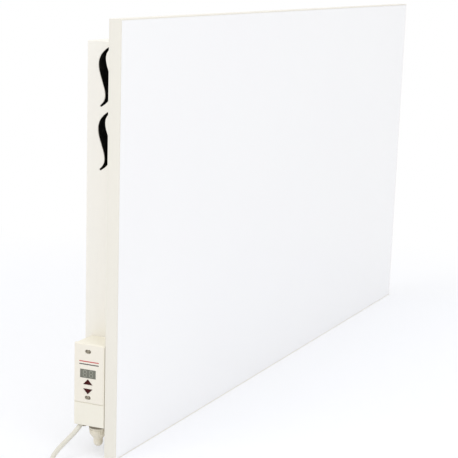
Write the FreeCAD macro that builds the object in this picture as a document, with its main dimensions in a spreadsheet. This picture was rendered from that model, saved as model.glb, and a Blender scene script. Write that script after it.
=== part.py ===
import FreeCAD, Part
import math
import os
import re
import Sketcher

# Ceramic panel heater for a wall. Millimetres. The origin is midway between the two hanging
# keyholes, on the back of the casing: +X to the right seen from the front, +Y towards the wall,
# +Z up. The tile's face is at the front, where Y is lowest.

Vector = FreeCAD.Vector
Rotation = FreeCAD.Rotation

SIZES = {
    # Slab: tile and the rails round it
    "panel_width": 900, "panel_height": 450, "panel_depth": 14, "total_depth": 57,
    "tile_thick": 10, "tile_edge": 1.6, "tile_proud": 1.2, "tile_gap": 0.2,
    "frame_sheet": 1.2, "frame_flange": 48, "gasket_width": 14,
    # Rear casing
    "casing_inset_side": 34, "casing_inset_top": 24, "casing_inset_bottom": 30,
    "casing_sheet": 1, "casing_flange": 11,
    "hang_drop": 84, "keyhole_spacing": 600, "keyhole_radius": 5, "keyhole_neck": 5,
    "keyhole_rise": 12,
    "vent_height": 58.4, "vent_pitch": 64.5, "vent_margin": 6.1, "vent_shift": 0.5, "vent_lean": 4.75,
    "vent_end_shift": 0.7, "vent_end_rise": 0.9, "vent_belly": 26.6, "vent_belly_rise": 12.4,
    "vent_waist": 12.8, "vent_waist_drop": 14.4,
    "inlet_length": 60, "inlet_width": 8, "inlet_pitch": 84, "inlet_count": 8,
    "screw_radius": 1.75, "screw_head_radius": 3.6, "screw_head": 2.2, "screw_crown_radius": 2.5,
    "screw_clear": 0.1, "screw_length": 4.4, "spare": 1,
    # Heating parts behind the tile
    "cable_radius": 1.3, "cable_runs": 12, "cable_inset": 6.5, "cable_end": 30,
    "spreader_sheet": 0.5, "spreader_margin": 22,
    "mat_thick": 10, "mat_gap": 5, "mat_window": 36, "strap_width": 16, "strap_sheet": 0.8,
    "strap_spacing": 320,
    "cutout_radius": 8, "cutout_height": 9, "cutout_flange": 1.5, "cutout_ear": 3, "cutout_x": 60,
    "cutout_drop": 120, "blade_width": 6, "blade_length": 10, "blade_sheet": 0.8,
    "probe_radius": 2.6, "probe_length": 28, "probe_x": 40, "probe_drop": 190,
    "block_length": 34, "block_width": 16, "block_gap": 6, "block_wire": 2, "block_ways": 3,
    "block_set": 8, "block_rise": 24, "lead_radius": 1.2, "lead_set": 4, "lead_edge": 6, "lead_drop": 8,
    "lead_rise": 30, "lead_bite": 6,
    # Control box
    "box_thick": 33.6, "box_width": 35.6, "box_height": 88.5, "box_lift": 32, "box_wall": 2,
    "box_corner": 2, "base_depth": 29.6, "seam_height": 25, "face_shift": 1.2,
    "overlay_sheet": 0.4, "overlay_margin": 1.2,
    "display_width": 18.6, "display_height": 9.4, "display_low": 52, "lens_clear": 0.1,
    "lens_lip": 1.6, "module_gap": 0.6,
    "button_base": 10.2, "button_height": 5.4, "button_clear": 0.25, "button_proud": 0.5,
    "button_lip": 1, "button_gap": 4.9, "button_low": 35, "stem_rise": 2.16,
    "stem_radius": 1.4, "stem_gap": 0.5, "plunger_height": 0.8,
    "board_sheet": 1.6, "board_clear": 0.5, "board_set": 5, "switch_side": 6, "switch_height": 3.4,
    "cover_screw_low": 31, "cover_screw_drop": 8, "cover_screw_radius": 1,
    "cover_head_radius": 1.65, "cover_head": 1.2, "recess_length": 7, "recess_width": 3.9,
    "recess_depth": 1.1, "seal_sheet": 0.4, "seal_clear": 0.1, "post_radius": 3.4, "bite": 8,
    "relay_height": 15, "relay_width": 15.4, "relay_share": 0.56, "part_gap": 2.9,
    "capacitor_height": 12, "capacitor_width": 7.5,
    "grommet_radius": 6, "grommet_bore": 3, "grommet_lip": 1.6, "grommet_rise": 44,
    "link_end": 10, "base_screw_spacing": 20, "base_screw_rise": 14,
    "supply_thick": 11.2, "supply_width": 24, "supply_height": 14, "supply_rise": 10,
    # Gland in the box's bottom
    "gland_x": 18, "gland_y": 15, "gland_radius": 9.3, "gland_flats": 17, "gland_hex": 6,
    "gland_spigot": 6, "gland_washer": 1, "washer_inset": 0.5, "gland_nut": 7, "gland_collar": 4,
    "gland_nut_end": 6.6, "gland_dome": 4.9, "gland_dome_length": 11.5, "locknut": 5,
    # Mains cord, its bushing, coil and plug
    "cord_diameter": 5.2, "cord_x": 24.4, "cord_y": 29.2, "bushing_wall": 0.8,
    "bushing_clear": 0.1, "bushing_flange": 3, "bushing_lip": 0.9, "bushing_tail": 3,
    "cord_inside": 6, "cord_drop": 2.5, "touch_reach": 49.6, "touch_shift": 12.8, "touch_lift": 5.4,
    "run_reach": 77.6, "run_shift": -12.2, "run_lift": 4, "approach_reach": 122.6,
    "coil_radius": 41, "coil_gap": 0.6, "coil_half_turns": 7, "coil_reach": 168.6, "coil_shift": -72.2,
    "tie_sheet": 1, "tie_width": 9, "tie_clear": 0.5, "tie_lift": 0.2, "tail_run": 22,
    "tail_shift": 10.6,
    "plug_radius": 18.5, "plug_bevel": 4, "plug_bevel_radius": 14.8, "plug_shoulder": 12, "plug_body": 32,
    "plug_boot": 22, "plug_boot_end": 4.2, "plug_neck": 8, "pin_radius": 2.4, "pin_length": 19,
    "pin_spacing": 19, "clip_width": 6, "clip_sheet": 1.2, "groove_depth": 3.6,
}

# Places worked out from the sizes
DATUMS = {
    "panel_bottom": "hang_drop - panel_height",
    "panel_top": "hang_drop",
    "frame_back": "panel_depth - total_depth",
    "tile_back": "tile_thick - total_depth",
    "tile_inset": "frame_sheet + tile_gap",
    "rim_depth": "panel_depth - tile_proud",
    "gasket_depth": "panel_depth - tile_thick - frame_sheet",
    "casing_side": "panel_width / 2 - casing_inset_side",
    "casing_top": "panel_top - casing_inset_top",
    "casing_bottom": "panel_bottom + casing_inset_bottom",
    "casing_depth": "total_depth - panel_depth",
    "casing_height": "panel_height - casing_inset_top - casing_inset_bottom",
    "box_front": "frame_back + casing_sheet",
    "box_bottom": "panel_bottom + box_lift",
    "box_top": "box_bottom + box_height",
    "box_face": "-casing_side - box_thick",
    "base_rim": "-casing_side - base_depth",
    "base_floor": "-casing_side - box_wall",
    "face_middle": "box_front + box_width / 2 + face_shift",
    "seam": "box_bottom + seam_height",
    "board_front": "base_rim + board_set",
    "board_back": "board_front + board_sheet",
    "cover_screw_high": "box_height - cover_screw_drop",
    "post_span": "cover_screw_high - cover_screw_low - 2 * post_radius",
    "part_span": "post_span - 3 * part_gap",
    "relay_length": "relay_share * part_span",
    "capacitor_length": "part_span - relay_length",
    "capacitor_rise": "cover_screw_low + post_radius + part_gap",
    "relay_rise": "capacitor_rise + capacitor_length + part_gap",
    "button_middle": "box_bottom + button_low + button_height + button_gap / 2",
    "gland_axis_x": "-casing_side - gland_x",
    "gland_axis_y": "box_front + gland_y",
    "exit_x": "-casing_side - cord_x",
    "exit_y": "box_front + cord_y",
    "bushing_radius": "cord_diameter / 2 + bushing_clear + bushing_wall",
    "block_height": "casing_depth - block_set - block_gap - mat_thick - casing_sheet",
    "grommet_z": "box_bottom + grommet_rise",
    "grommet_y": "box_front + box_width / 2",
}

doc = FreeCAD.newDocument("panel_heater")
sheet = doc.addObject("Spreadsheet::Sheet", "Sizes")
for row, (alias, number) in enumerate(SIZES.items(), start=1):
    sheet.set(f"A{row}", alias)
    sheet.set(f"B{row}", str(number))
    sheet.setAlias(f"B{row}", alias)
doc.recompute()

nodes = []


def size(alias):
    """A size read from the sheet, as a number."""
    return float(sheet.get(alias))


floor_z = size("hang_drop") - size("panel_height")


def bound(text):
    """An expression on the sheet's cells, written with the plain names of sizes and datums."""
    def swap(match):
        word = match.group(0)
        if word in DATUMS:
            return "(" + bound(DATUMS[word]) + ")"
        return "Sizes." + word if word in SIZES else word
    return re.sub(r"[a-z_]+", swap, text)


def solid(kind, name, place, turn=None, **sizes):
    """A Part primitive with its sizes and place bound to the sheet."""
    item = doc.addObject("Part::" + kind, name)
    if turn:
        item.Placement = FreeCAD.Placement(Vector(), turn)
    for prop, text in sizes.items():
        item.setExpression(prop, bound(text))
    for axis, text in zip("xyz", place):
        item.setExpression("Placement.Base." + axis, bound(text))
    return item


ALONG_X = Rotation(Vector(0, 1, 0), 90)
ALONG_Y = Rotation(Vector(1, 0, 0), -90)
TOUCH = 0.001


def block(name, low, spans):
    """A box from its low corner and its three spans."""
    length, width, height = spans
    return solid("Box", name, low, Length=length, Width=width, Height=height)


def rod(name, start, radius, length, turn=None):
    """A cylinder from the centre of its first face, along Z unless turned."""
    return solid("Cylinder", name, start, turn, Radius=radius, Height=length)


def fuse(name, *items):
    item = doc.addObject("Part::MultiFuse", name)
    item.Shapes = list(items)
    item.Refine = True
    return item


def group(name, *items):
    item = doc.addObject("Part::Compound", name)
    item.Links = list(items)
    return item


def cut(name, base, *tools):
    item = doc.addObject("Part::Cut", name)
    item.Base = base
    item.Tool = tools[0] if len(tools) == 1 else group(name + "_tools", *tools)
    return item


def node(item):
    """Marks an object as one piece of the heater."""
    nodes.append(item)
    return item


def sketch_on(owner, name, role, lift):
    """A sketch on one of the body's own origin planes, lifted along the plane's normal."""
    plane = next(f for f in owner.Origin.OriginFeatures if f.Role == role)
    item = owner.newObject("Sketcher::SketchObject", name)
    item.AttachmentSupport = [(plane, "")]
    item.MapMode = "FlatFace"
    item.setExpression("AttachmentOffset.Base.z", bound(lift))
    return item


def hold(sketch, kind, text, *places):
    """A sketch dimension bound to the sheet."""
    index = sketch.addConstraint(Sketcher.Constraint(kind, *places, 1.0))
    sketch.setExpression(f"Constraints[{index}]", bound(text))


# New sketch lines start this far from the sketch's origin, until their dimensions place them
START = 9
START_HALF = 3


def polygon(sketch, corners):
    """A closed outline whose corners are held by expressions."""
    first = sketch.GeometryCount
    count = len(corners)
    ring = [Vector(START * math.cos(math.tau * i / count), START * math.sin(math.tau * i / count), 0)
            for i in range(count)]
    for i in range(count):
        sketch.addGeometry(Part.LineSegment(ring[i], ring[(i + 1) % count]))
    for i, (across, up) in enumerate(corners):
        sketch.addConstraint(Sketcher.Constraint("Coincident", first + i, 2, first + (i + 1) % count, 1))
        hold(sketch, "DistanceX", across, -1, 1, first + i, 1)
        hold(sketch, "DistanceY", up, -1, 1, first + i, 1)


def rectangle(sketch, low, high):
    (left, bottom), (right, top) = low, high
    polygon(sketch, [(left, bottom), (right, bottom), (right, top), (left, top)])


def obround(sketch, middle, length, width):
    """A slot with round ends, lying along the sketch's first axis."""
    first = sketch.GeometryCount
    across, up = middle
    for side, start in ((1, -math.pi / 2), (-1, math.pi / 2)):
        circle = Part.Circle(Vector(START * side, 0, 0), Vector(0, 0, 1), START_HALF)
        sketch.addGeometry(Part.ArcOfCircle(circle, start, start + math.pi))
    for side in (1, -1):
        corner = Vector(START, START_HALF, 0) * side
        sketch.addGeometry(Part.LineSegment(corner, Vector(-corner.x, corner.y, 0)))
    ends = ((first, 2, first + 2, 1), (first + 2, 2, first + 1, 1),
            (first + 1, 2, first + 3, 1), (first + 3, 2, first, 1))
    for joint in ends:
        sketch.addConstraint(Sketcher.Constraint("Coincident", *joint))
    for arc, sign in ((first, "+"), (first + 1, "-")):
        for end in (1, 2):
            sketch.addConstraint(Sketcher.Constraint("Vertical", arc, end, arc, 3))
        hold(sketch, "DistanceX", f"{across} {sign} (({length}) - ({width})) / 2", -1, 1, arc, 3)
        hold(sketch, "DistanceY", up, -1, 1, arc, 3)
        hold(sketch, "Radius", f"({width}) / 2", arc)


def pad(owner, name, sketch, length, back=False):
    item = owner.newObject("PartDesign::Pad", name)
    item.Profile = sketch
    item.Reversed = back
    item.setExpression("Length", bound(length))
    return item


def pocket(owner, name, sketch, length, back=False):
    item = owner.newObject("PartDesign::Pocket", name)
    item.Profile = sketch
    item.Reversed = back
    item.setExpression("Length", bound(length))
    return item


def fillet(owner, name, base, radius, wanted):
    """Rounds the edges of the base feature whose own boxes pass the test."""
    doc.recompute()
    edges = [f"Edge{i}" for i, edge in enumerate(base.Shape.Edges, start=1) if wanted(edge.BoundBox)]
    item = owner.newObject("PartDesign::Fillet", name)
    item.Base = (base, edges)
    item.setExpression("Radius", bound(radius))
    return item


# Ceramic tile: a pressed and glazed slab with a rounded edge round its face

tile = node(doc.addObject("PartDesign::Body", "ceramic_panel"))
outline = sketch_on(tile, "tile_outline", "XZ_Plane", "total_depth")
rectangle(outline, ("tile_inset - panel_width / 2", "panel_bottom + tile_inset"),
          ("panel_width / 2 - tile_inset", "panel_top - tile_inset"))
slab = pad(tile, "tile_slab", outline, "tile_thick", back=True)
face_y = -size("total_depth")
fillet(tile, "tile_round", slab, "tile_edge", lambda edge: edge.YMax < face_y + TOUCH)

# Screws round the casing's flange: one shared set of holes, one set of screws

flange_middle = "casing_flange / 2"
seats = []
for step in (-1.5, -0.5, 0.5, 1.5):
    across = f"{step} * casing_side / 2"
    seats.append((across, f"casing_top + {flange_middle}"))
    seats.append((across, f"casing_bottom - {flange_middle}"))
for step in (0.25, 0.5, 0.75):
    up = f"casing_bottom + {step} * casing_height"
    seats.append((f"casing_side + {flange_middle}", up))
    if step > 0.25:
        seats.append((f"-casing_side - {flange_middle}", up))
holes = []
screws = []
for i, (across, up) in enumerate(seats):
    start = (across, "frame_back + casing_sheet - screw_length", up)
    holes.append(rod(f"flange_hole_{i}", start, "screw_radius + screw_clear", "screw_length", ALONG_Y))
    shank = rod(f"flange_shank_{i}", start, "screw_radius", "screw_length", ALONG_Y)
    head = solid("Cone", f"flange_head_{i}", (across, "frame_back + casing_sheet", up), ALONG_Y,
                 Radius1="screw_head_radius", Radius2="screw_crown_radius", Height="screw_head")
    screws.append(fuse(f"flange_screw_{i}", shank, head))
node(group("casing_screws", *screws))
flange_holes = group("flange_holes", *holes)

# Frame rails: L-section sheet steel, mitred at the corners. Each is built with its length along X
# and its flange inwards along Y, then turned to its side of the tile.


def rail(name, length, turn, place):
    parts = []
    for part, reach, depth in (("wall", "frame_sheet", "rim_depth"),
                               ("flange", "frame_flange", "frame_sheet")):
        stand = Rotation(Vector(0, 1, 0), turn) * Rotation(Vector(1, 0, 0), 90)
        parts.append(solid("Wedge", f"{name}_{part}", place, stand,
                           Xmin=f"-{length} / 2", Xmax=f"{length} / 2", Ymin="0", Ymax=reach,
                           Zmin="0", Zmax=depth, Z2min="0", Z2max=depth,
                           X2min=f"{reach} - {length} / 2", X2max=f"{length} / 2 - {reach}"))
    node(cut(name, fuse(name + "_fold", *parts), flange_holes))


middle_z = "panel_bottom + panel_height / 2"
rail("frame_rail_bottom", "panel_width", 0, ("0", "frame_back", "panel_bottom"))
rail("frame_rail_left", "panel_height", 90, ("-panel_width / 2", "frame_back", middle_z))
rail("frame_rail_top", "panel_width", 180, ("0", "frame_back", "panel_top"))
rail("frame_rail_right", "panel_height", -90, ("panel_width / 2", "frame_back", middle_z))

# Fibre tape between the tile's back and the rails

gasket_low = ("tile_inset - panel_width / 2", "tile_back", "panel_bottom + tile_inset")
gasket_spans = ("panel_width - 2 * tile_inset", "gasket_depth", "panel_height - 2 * tile_inset")
tape = block("tape_outer", gasket_low, gasket_spans)
tape_hole = block("tape_inner", [t + " + gasket_width" if i != 1 else t for i, t in enumerate(gasket_low)],
                  [t + " - 2 * gasket_width" if i != 1 else t for i, t in enumerate(gasket_spans)])
node(cut("edge_gasket", tape, tape_hole))

# Heating cable: one tube to and fro across the tile's back, with half-round turns

cable_y = size("tile_thick") - size("total_depth") + size("cable_radius")
runs = int(size("cable_runs"))
window_edge = size("frame_flange") + size("spreader_margin")
low_run = floor_z + window_edge + size("cable_inset")
high_run = size("hang_drop") - window_edge - size("cable_inset")
cable_pitch = (high_run - low_run) / (runs - 1)
half_run = size("panel_width") / 2 - window_edge - size("cable_end")
turn_radius = cable_pitch / 2
course = []
for i in range(runs):
    side = 1 if i % 2 == 0 else -1
    height = low_run + i * cable_pitch
    start = Vector(-side * half_run, cable_y, height)
    end = Vector(side * half_run, cable_y, height)
    course.append(Part.makeLine(start, end))
    if i < runs - 1:
        top = end + Vector(0, 0, cable_pitch)
        crown = end + Vector(side * turn_radius, 0, turn_radius)
        course.append(Part.Arc(end, crown, top).toShape())


def tube(wire, start, heading, radius):
    """A round tube along a wire of lines and tangent arcs, with its volume compared."""
    ring = Part.Wire([Part.makeCircle(radius, start, heading)])
    shape = wire.makePipeShell([ring], True, False)
    expected = math.pi * radius ** 2 * wire.Length
    print(f"tube length {wire.Length:.1f} volume ratio {shape.Volume / expected:.4f}")
    return shape


element = node(doc.addObject("Part::Feature", "heating_element"))
cable_start = Vector(-half_run, cable_y, low_run)
element.Shape = tube(Part.Wire(course), cable_start, Vector(1, 0, 0), size("cable_radius"))
element.Placement = FreeCAD.Placement()

# Aluminium sheet over the cable, in the frame's window

spread_reach = "panel_width / 2 - frame_flange - spreader_margin"
spread_low = "panel_bottom + frame_flange + spreader_margin"
node(block("heat_spreader", (f"-({spread_reach})", "tile_back + gasket_depth", spread_low),
           (f"2 * ({spread_reach})", "spreader_sheet",
            "panel_height - 2 * (frame_flange + spreader_margin)")))

# Disc cut-out and temperature probe, both fixed to the spreader

spread_face = "tile_back + gasket_depth + spreader_sheet"
cutout_place = (f"cutout_x - ({spread_reach})", spread_face, "panel_top - cutout_drop")
disc = rod("cutout_disc", cutout_place, "cutout_radius", "cutout_height", ALONG_Y)
ear = rod("cutout_ear", cutout_place, "cutout_radius + cutout_ear", "cutout_flange", ALONG_Y)
blades = []
for side in (-1, 1):
    blade_low = (f"{cutout_place[0]} + {side} * cutout_radius / 2 - blade_sheet / 2",
                 f"{cutout_place[1]} + cutout_height - spare", f"{cutout_place[2]} - blade_width / 2")
    blades.append(block(f"cutout_blade_{side + 1}", blade_low,
                        ("blade_sheet", "blade_length", "blade_width")))
node(fuse("thermal_cutout", disc, ear, *blades))
probe_place = (f"probe_x - ({spread_reach})", f"{spread_face} + probe_radius", "panel_top - probe_drop")
probe = rod("probe_sleeve", probe_place, "probe_radius", "probe_length", ALONG_X)
probe_tip = solid("Sphere", "probe_tip", probe_place, Radius="probe_radius")
node(fuse("sensor_probe", probe, probe_tip))

# Rear casing: a folded pan with an outward flange, S-shaped vents in both sides, air inlets in the
# bottom and keyholes in the back

casing = doc.addObject("PartDesign::Body", "casing_pan")
pan_outline = sketch_on(casing, "pan_outline", "XZ_Plane", "0")
rectangle(pan_outline, ("-casing_side", "casing_bottom"), ("casing_side", "casing_top"))
pan = pad(casing, "pan_block", pan_outline, "casing_depth")
front_y = -size("total_depth") + size("panel_depth")
fillet(casing, "pan_folds", pan, "casing_sheet", lambda edge: edge.YMax > front_y + TOUCH)
flange_outline = sketch_on(casing, "flange_outline", "XZ_Plane", "casing_depth - casing_sheet")
rectangle(flange_outline, ("-casing_side - casing_flange", "casing_bottom - casing_flange"),
          ("casing_side + casing_flange", "casing_top + casing_flange"))
pad(casing, "pan_flange", flange_outline, "casing_sheet")
hollow_outline = sketch_on(casing, "hollow_outline", "XZ_Plane", "casing_depth")
rectangle(hollow_outline, ("casing_sheet - casing_side", "casing_bottom + casing_sheet"),
          ("casing_side - casing_sheet", "casing_top - casing_sheet"))
pocket(casing, "pan_hollow", hollow_outline, "casing_depth - casing_sheet")


def vent_outline(centre):
    """A curve and a round end that make half of an S, and the same turned by half a turn."""
    tip = Vector(-size("vent_lean"), size("vent_height") / 2, 0)
    half_end = Vector(size("vent_end_shift"), size("vent_end_rise"), 0)
    outward = Vector(-half_end.y, half_end.x, 0)
    belly = Vector(size("vent_belly"), size("vent_belly_rise"), 0)
    waist = Vector(-size("vent_waist"), -size("vent_waist_drop"), 0)
    for sign in (1, -1):
        curve = Part.BezierCurve()
        curve.setPoles([centre + sign * p for p in (tip + half_end, belly, waist, half_end - tip)])
        yield curve.toBSpline()
        yield Part.Arc(*[centre + sign * (tip + p) for p in (half_end, outward, -1 * half_end)])


vents = sketch_on(casing, "vent_outlines", "YZ_Plane", "0")
vent_y = front_y / 2 + size("vent_shift")
top_z = size("hang_drop") - size("casing_inset_top")
for i in range(2):
    vent_z = top_z - size("vent_margin") - size("vent_height") / 2 - i * size("vent_pitch")
    for curve in vent_outline(Vector(vent_y, vent_z, 0)):
        vents.addGeometry(curve)
side_cut = pocket(casing, "vent_cut", vents, "2 * (casing_side + spare)")
side_cut.SideType = "Symmetric"
inlet = sketch_on(casing, "inlet_outline", "XY_Plane", "casing_bottom + casing_sheet + spare")
obround(inlet, ("-(inlet_count - 1) * inlet_pitch / 2", "-casing_depth / 2"), "inlet_length", "inlet_width")
inlet_cut = pocket(casing, "inlet_cut", inlet, "casing_sheet + 2 * spare")
doc.recompute()
row = casing.newObject("PartDesign::LinearPattern", "inlet_row")
row.Originals = [inlet_cut]
row.Direction = (inlet, ["H_Axis"])
row.setExpression("Length", bound("(inlet_count - 1) * inlet_pitch"))
row.setExpression("Occurrences", bound("inlet_count"))
casing.Tip = row

keyholes = []
for side in (-1, 1):
    across = f"{side} * keyhole_spacing / 2"
    behind = "-casing_sheet - spare"
    through = "casing_sheet + 2 * spare"
    entry = rod(f"keyhole_entry_{side + 1}", (across, behind, "0"), "keyhole_radius", through, ALONG_Y)
    neck = block(f"keyhole_neck_{side + 1}", (f"{across} - keyhole_neck / 2", behind, "0"),
                 ("keyhole_neck", through, "keyhole_rise"))
    crown = rod(f"keyhole_crown_{side + 1}", (across, behind, "keyhole_rise"), "keyhole_neck / 2",
                through, ALONG_Y)
    keyholes.append(fuse(f"keyhole_{side + 1}", entry, neck, crown))
lead_hole = rod("lead_hole", ("-casing_side - spare", "grommet_y", "grommet_z"),
                "grommet_radius - grommet_lip", "casing_sheet + 2 * spare", ALONG_X)
base_holes = []
base_screws = []
for i, side in enumerate((-1, 1)):
    screw_y = f"grommet_y + {side} * base_screw_spacing / 2"
    screw_z = "grommet_z + base_screw_rise"
    tip = ("base_floor", screw_y, screw_z)
    base_holes.append(rod(f"base_hole_{i}", tip, "screw_radius + screw_clear",
                          "box_wall + casing_sheet + screw_length", ALONG_X))
    shank = rod(f"base_shank_{i}", tip, "screw_radius", "box_wall + screw_length", ALONG_X)
    head_seat = ("base_floor - screw_head", screw_y, screw_z)
    head = rod(f"base_head_{i}", head_seat, "screw_head_radius", "screw_head", ALONG_X)
    base_screws.append(fuse(f"base_screw_{i}", shank, head))
node(group("base_screws", *base_screws))
node(cut("rear_casing", casing, *keyholes, lead_hole, *base_holes, flange_holes))

# Dark fibre mat on the casing's back wall, with windows behind the keyholes, and its two straps

mat_low = ("casing_sheet + mat_gap - casing_side", "-casing_sheet - mat_thick",
           "casing_bottom + casing_sheet + mat_gap")
mat = block("mat_sheet", mat_low, ("2 * (casing_side - casing_sheet - mat_gap)", "mat_thick",
                                   "casing_height - 2 * (casing_sheet + mat_gap)"))
windows = [block(f"mat_window_{i}", (f"{side} * keyhole_spacing / 2 - mat_window / 2",
                                     "-casing_sheet - mat_thick - spare", "-mat_window / 2"),
                 ("mat_window", "mat_thick + 2 * spare", "mat_window")) for i, side in enumerate((-1, 1))]
node(cut("insulation_mat", mat, *windows))
straps = [block(f"strap_{i}", (f"{side} * strap_spacing / 2 - strap_width / 2",
                               "-casing_sheet - mat_thick - strap_sheet", "casing_bottom + casing_sheet"),
                ("strap_width", "strap_sheet", "casing_height - 2 * casing_sheet"))
          for i, side in enumerate((-1, 1))]
node(group("mat_straps", *straps))

# Connector block on the casing's left wall, and the leads that meet it

block_low = ("casing_sheet - casing_side", "block_set - casing_depth", "grommet_z + block_rise")
body = block("block_body", block_low, ("block_width", "block_height", "block_length"))
ways = int(size("block_ways"))
block_bores = []
for i in range(ways):
    mouth = (f"{block_low[0]} + block_width / 2", f"{block_low[1]} - spare",
             f"{block_low[2]} + ({i} + 0.5) * block_length / block_ways")
    block_bores.append(rod(f"block_bore_{i}", mouth, "block_wire", "block_height + 2 * spare", ALONG_Y))
node(cut("terminal_block", body, *block_bores))


# Share of the shorter of two runs that the bend between them takes
BEND_SHARE = 0.45


def route(points):
    """Straight runs joined by tangent arcs, each as large as its two runs allow."""
    edges = []
    radii = []
    last = points[0]
    for before, here, after in zip(points, points[1:], points[2:]):
        back = before - here
        ahead = after - here
        shorter = min(back.Length, ahead.Length)
        turn = math.pi - back.getAngle(ahead)
        reach = BEND_SHARE * shorter
        radii.append(round(reach / math.tan(turn / 2), 1))
        start = here + back * (reach / back.Length)
        end = here + ahead * (reach / ahead.Length)
        inward = back / back.Length + ahead / ahead.Length
        inward.normalize()
        depth = radii[-1] * (1 / math.cos(turn / 2) - 1)
        edges.append(Part.makeLine(last, start))
        edges.append(Part.Arc(start, here + inward * depth, end).toShape())
        last = end
    edges.append(Part.makeLine(last, points[-1]))
    print("bend radii", radii)
    return Part.Wire(edges)


def lead(points, radius):
    return tube(route(points), points[0], points[1] - points[0], radius)


wall_x = size("casing_inset_side") - size("panel_width") / 2 + size("casing_sheet")
block_y = front_y + size("block_set")
block_z = floor_z + size("box_lift") + size("grommet_rise") + size("block_rise")
lead_y = front_y + size("lead_set")
bore_x = wall_x + size("block_width") / 2
edge_x = window_edge - size("panel_width") / 2 - size("lead_edge")
lead_routes = []
for i, cable_z in ((0, low_run), (ways - 1, high_run)):
    bore_z = block_z + (i + 0.5) * size("block_length") / ways
    way = 1 if cable_z > bore_z else -1
    lead_routes.append([Vector(-half_run - size("lead_edge"), cable_y, cable_z),
                        Vector(edge_x, cable_y, cable_z),
                        Vector(edge_x - size("lead_drop"), lead_y, cable_z - way * size("spare")),
                        Vector(bore_x, lead_y, bore_z + way * size("lead_rise")),
                        Vector(bore_x, lead_y, bore_z),
                        Vector(bore_x, block_y + size("lead_bite"), bore_z)])
leads = node(doc.addObject("Part::Feature", "element_leads"))
leads.Shape = Part.makeCompound([lead(points, size("lead_radius")) for points in lead_routes])
leads.Placement = FreeCAD.Placement()

# Control box: a moulded base on the casing's side, two covers, and a gland and bushing below

base = doc.addObject("PartDesign::Body", "base_tray")
base_outline = sketch_on(base, "base_outline", "YZ_Plane", "-casing_side")
rectangle(base_outline, ("box_front", "box_bottom"), ("box_front + box_width", "box_top"))
tray = pad(base, "tray_block", base_outline, "base_depth", back=True)
fillet(base, "tray_corners", tray, "box_corner", lambda edge: edge.XLength > TOUCH)
tray_hollow = sketch_on(base, "tray_hollow", "YZ_Plane", "base_rim")
inside_low = ("box_front + box_wall", "box_bottom + box_wall")
inside_high = ("box_front + box_width - box_wall", "box_top - box_wall")
rectangle(tray_hollow, inside_low, inside_high)
pocket(base, "tray_cut", tray_hollow, "base_depth - box_wall", back=True)
posts = []
pilots = []
for i, rise in enumerate(("cover_screw_low", "cover_screw_high")):
    post = ("board_back", "face_middle", f"box_bottom + {rise}")
    posts.append(rod(f"post_{i}", post, "post_radius", "base_floor - board_back + box_wall / 2", ALONG_X))
    pilots.append(rod(f"pilot_{i}", post, "cover_screw_radius + screw_clear", "bite + spare", ALONG_X))
tray_body = fuse("tray_with_posts", base, *posts)
gland_hole = rod("gland_hole", ("gland_axis_x", "gland_axis_y", "box_bottom - spare"),
                 "gland_spigot + screw_clear", "box_wall + 2 * spare")
bushing_hole = rod("bushing_hole", ("exit_x", "exit_y", "box_bottom - spare"), "bushing_radius",
                   "box_wall + 2 * spare")
base_lead_hole = rod("base_lead_hole", ("base_floor - spare", "grommet_y", "grommet_z"),
                     "grommet_radius - grommet_lip", "box_wall + 2 * spare", ALONG_X)
node(cut("control_base", tray_body, *pilots, gland_hole, bushing_hole, base_lead_hole, *base_holes))

# Rubber grommet through the box's back and the casing's wall, and the lead that it holds

waist_start = ("base_floor - grommet_lip", "grommet_y", "grommet_z")
waist_length = "box_wall + casing_sheet + 2 * grommet_lip"
waist = rod("grommet_waist", waist_start, "grommet_radius - grommet_lip", waist_length, ALONG_X)
lips = [rod(f"grommet_lip_{i}", (start, "grommet_y", "grommet_z"), "grommet_radius", "grommet_lip", ALONG_X)
        for i, start in enumerate((waist_start[0], "casing_sheet - casing_side"))]
lead_way = rod("grommet_way", (f"{waist_start[0]} - spare", "grommet_y", "grommet_z"), "grommet_bore",
               f"{waist_length} + 2 * spare", ALONG_X)
node(cut("lead_grommet", fuse("grommet_ring", waist, *lips), lead_way))
link_y = front_y + size("casing_sheet") + size("box_width") / 2
link_z = floor_z + size("box_lift") + size("grommet_rise")
link = node(doc.addObject("Part::Feature", "link_cable"))
link.Shape = lead([Vector(wall_x - size("link_end"), link_y, link_z), Vector(bore_x, link_y, link_z),
                   Vector(bore_x, link_y, block_z)], size("grommet_bore") - size("screw_clear"))
link.Placement = FreeCAD.Placement()

# Upper and lower covers: shallow moulded shells that close the base


def cover(name, low, high):
    """A shell with its open side on the base's rim."""
    shell = doc.addObject("PartDesign::Body", name)
    rim = sketch_on(shell, name + "_outline", "YZ_Plane", "base_rim")
    rectangle(rim, ("box_front", low), ("box_front + box_width", high))
    lid = pad(shell, name + "_block", rim, "box_thick - base_depth", back=True)
    face_x = -size("panel_width") / 2 + size("casing_inset_side") - size("box_thick")
    fillet(shell, name + "_edge", lid, "box_wall / 2", lambda edge: edge.XMax < face_x + TOUCH)
    inner = sketch_on(shell, name + "_inner", "YZ_Plane", "base_rim")
    rectangle(inner, ("box_front + box_wall", f"{low} + box_wall"),
              ("box_front + box_width - box_wall", f"{high} - box_wall"))
    pocket(shell, name + "_hollow", inner, "box_thick - base_depth - box_wall")
    return shell


node(cover("terminal_cover", "box_bottom", "seam"))


def triangle(pointing, clear):
    """Corners of a key, or of its opening when clear is a clearance, pointing up or down."""
    flank = "sqrt(button_base * button_base / 4 + button_height * button_height)"
    half = f"button_base / 2 + {clear} * (button_base / 2 + {flank}) / button_height"
    foot = f"button_middle + {pointing} * (button_gap / 2 - {clear})"
    apex = (f"button_middle + {pointing} * (button_gap / 2 + button_height"
            f" + {clear} * {flank} / (button_base / 2))")
    return [(f"face_middle - ({half})", foot), (f"face_middle + {half}", foot), ("face_middle", apex)]


screw_rises = ("cover_screw_low", "cover_screw_high")


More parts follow.
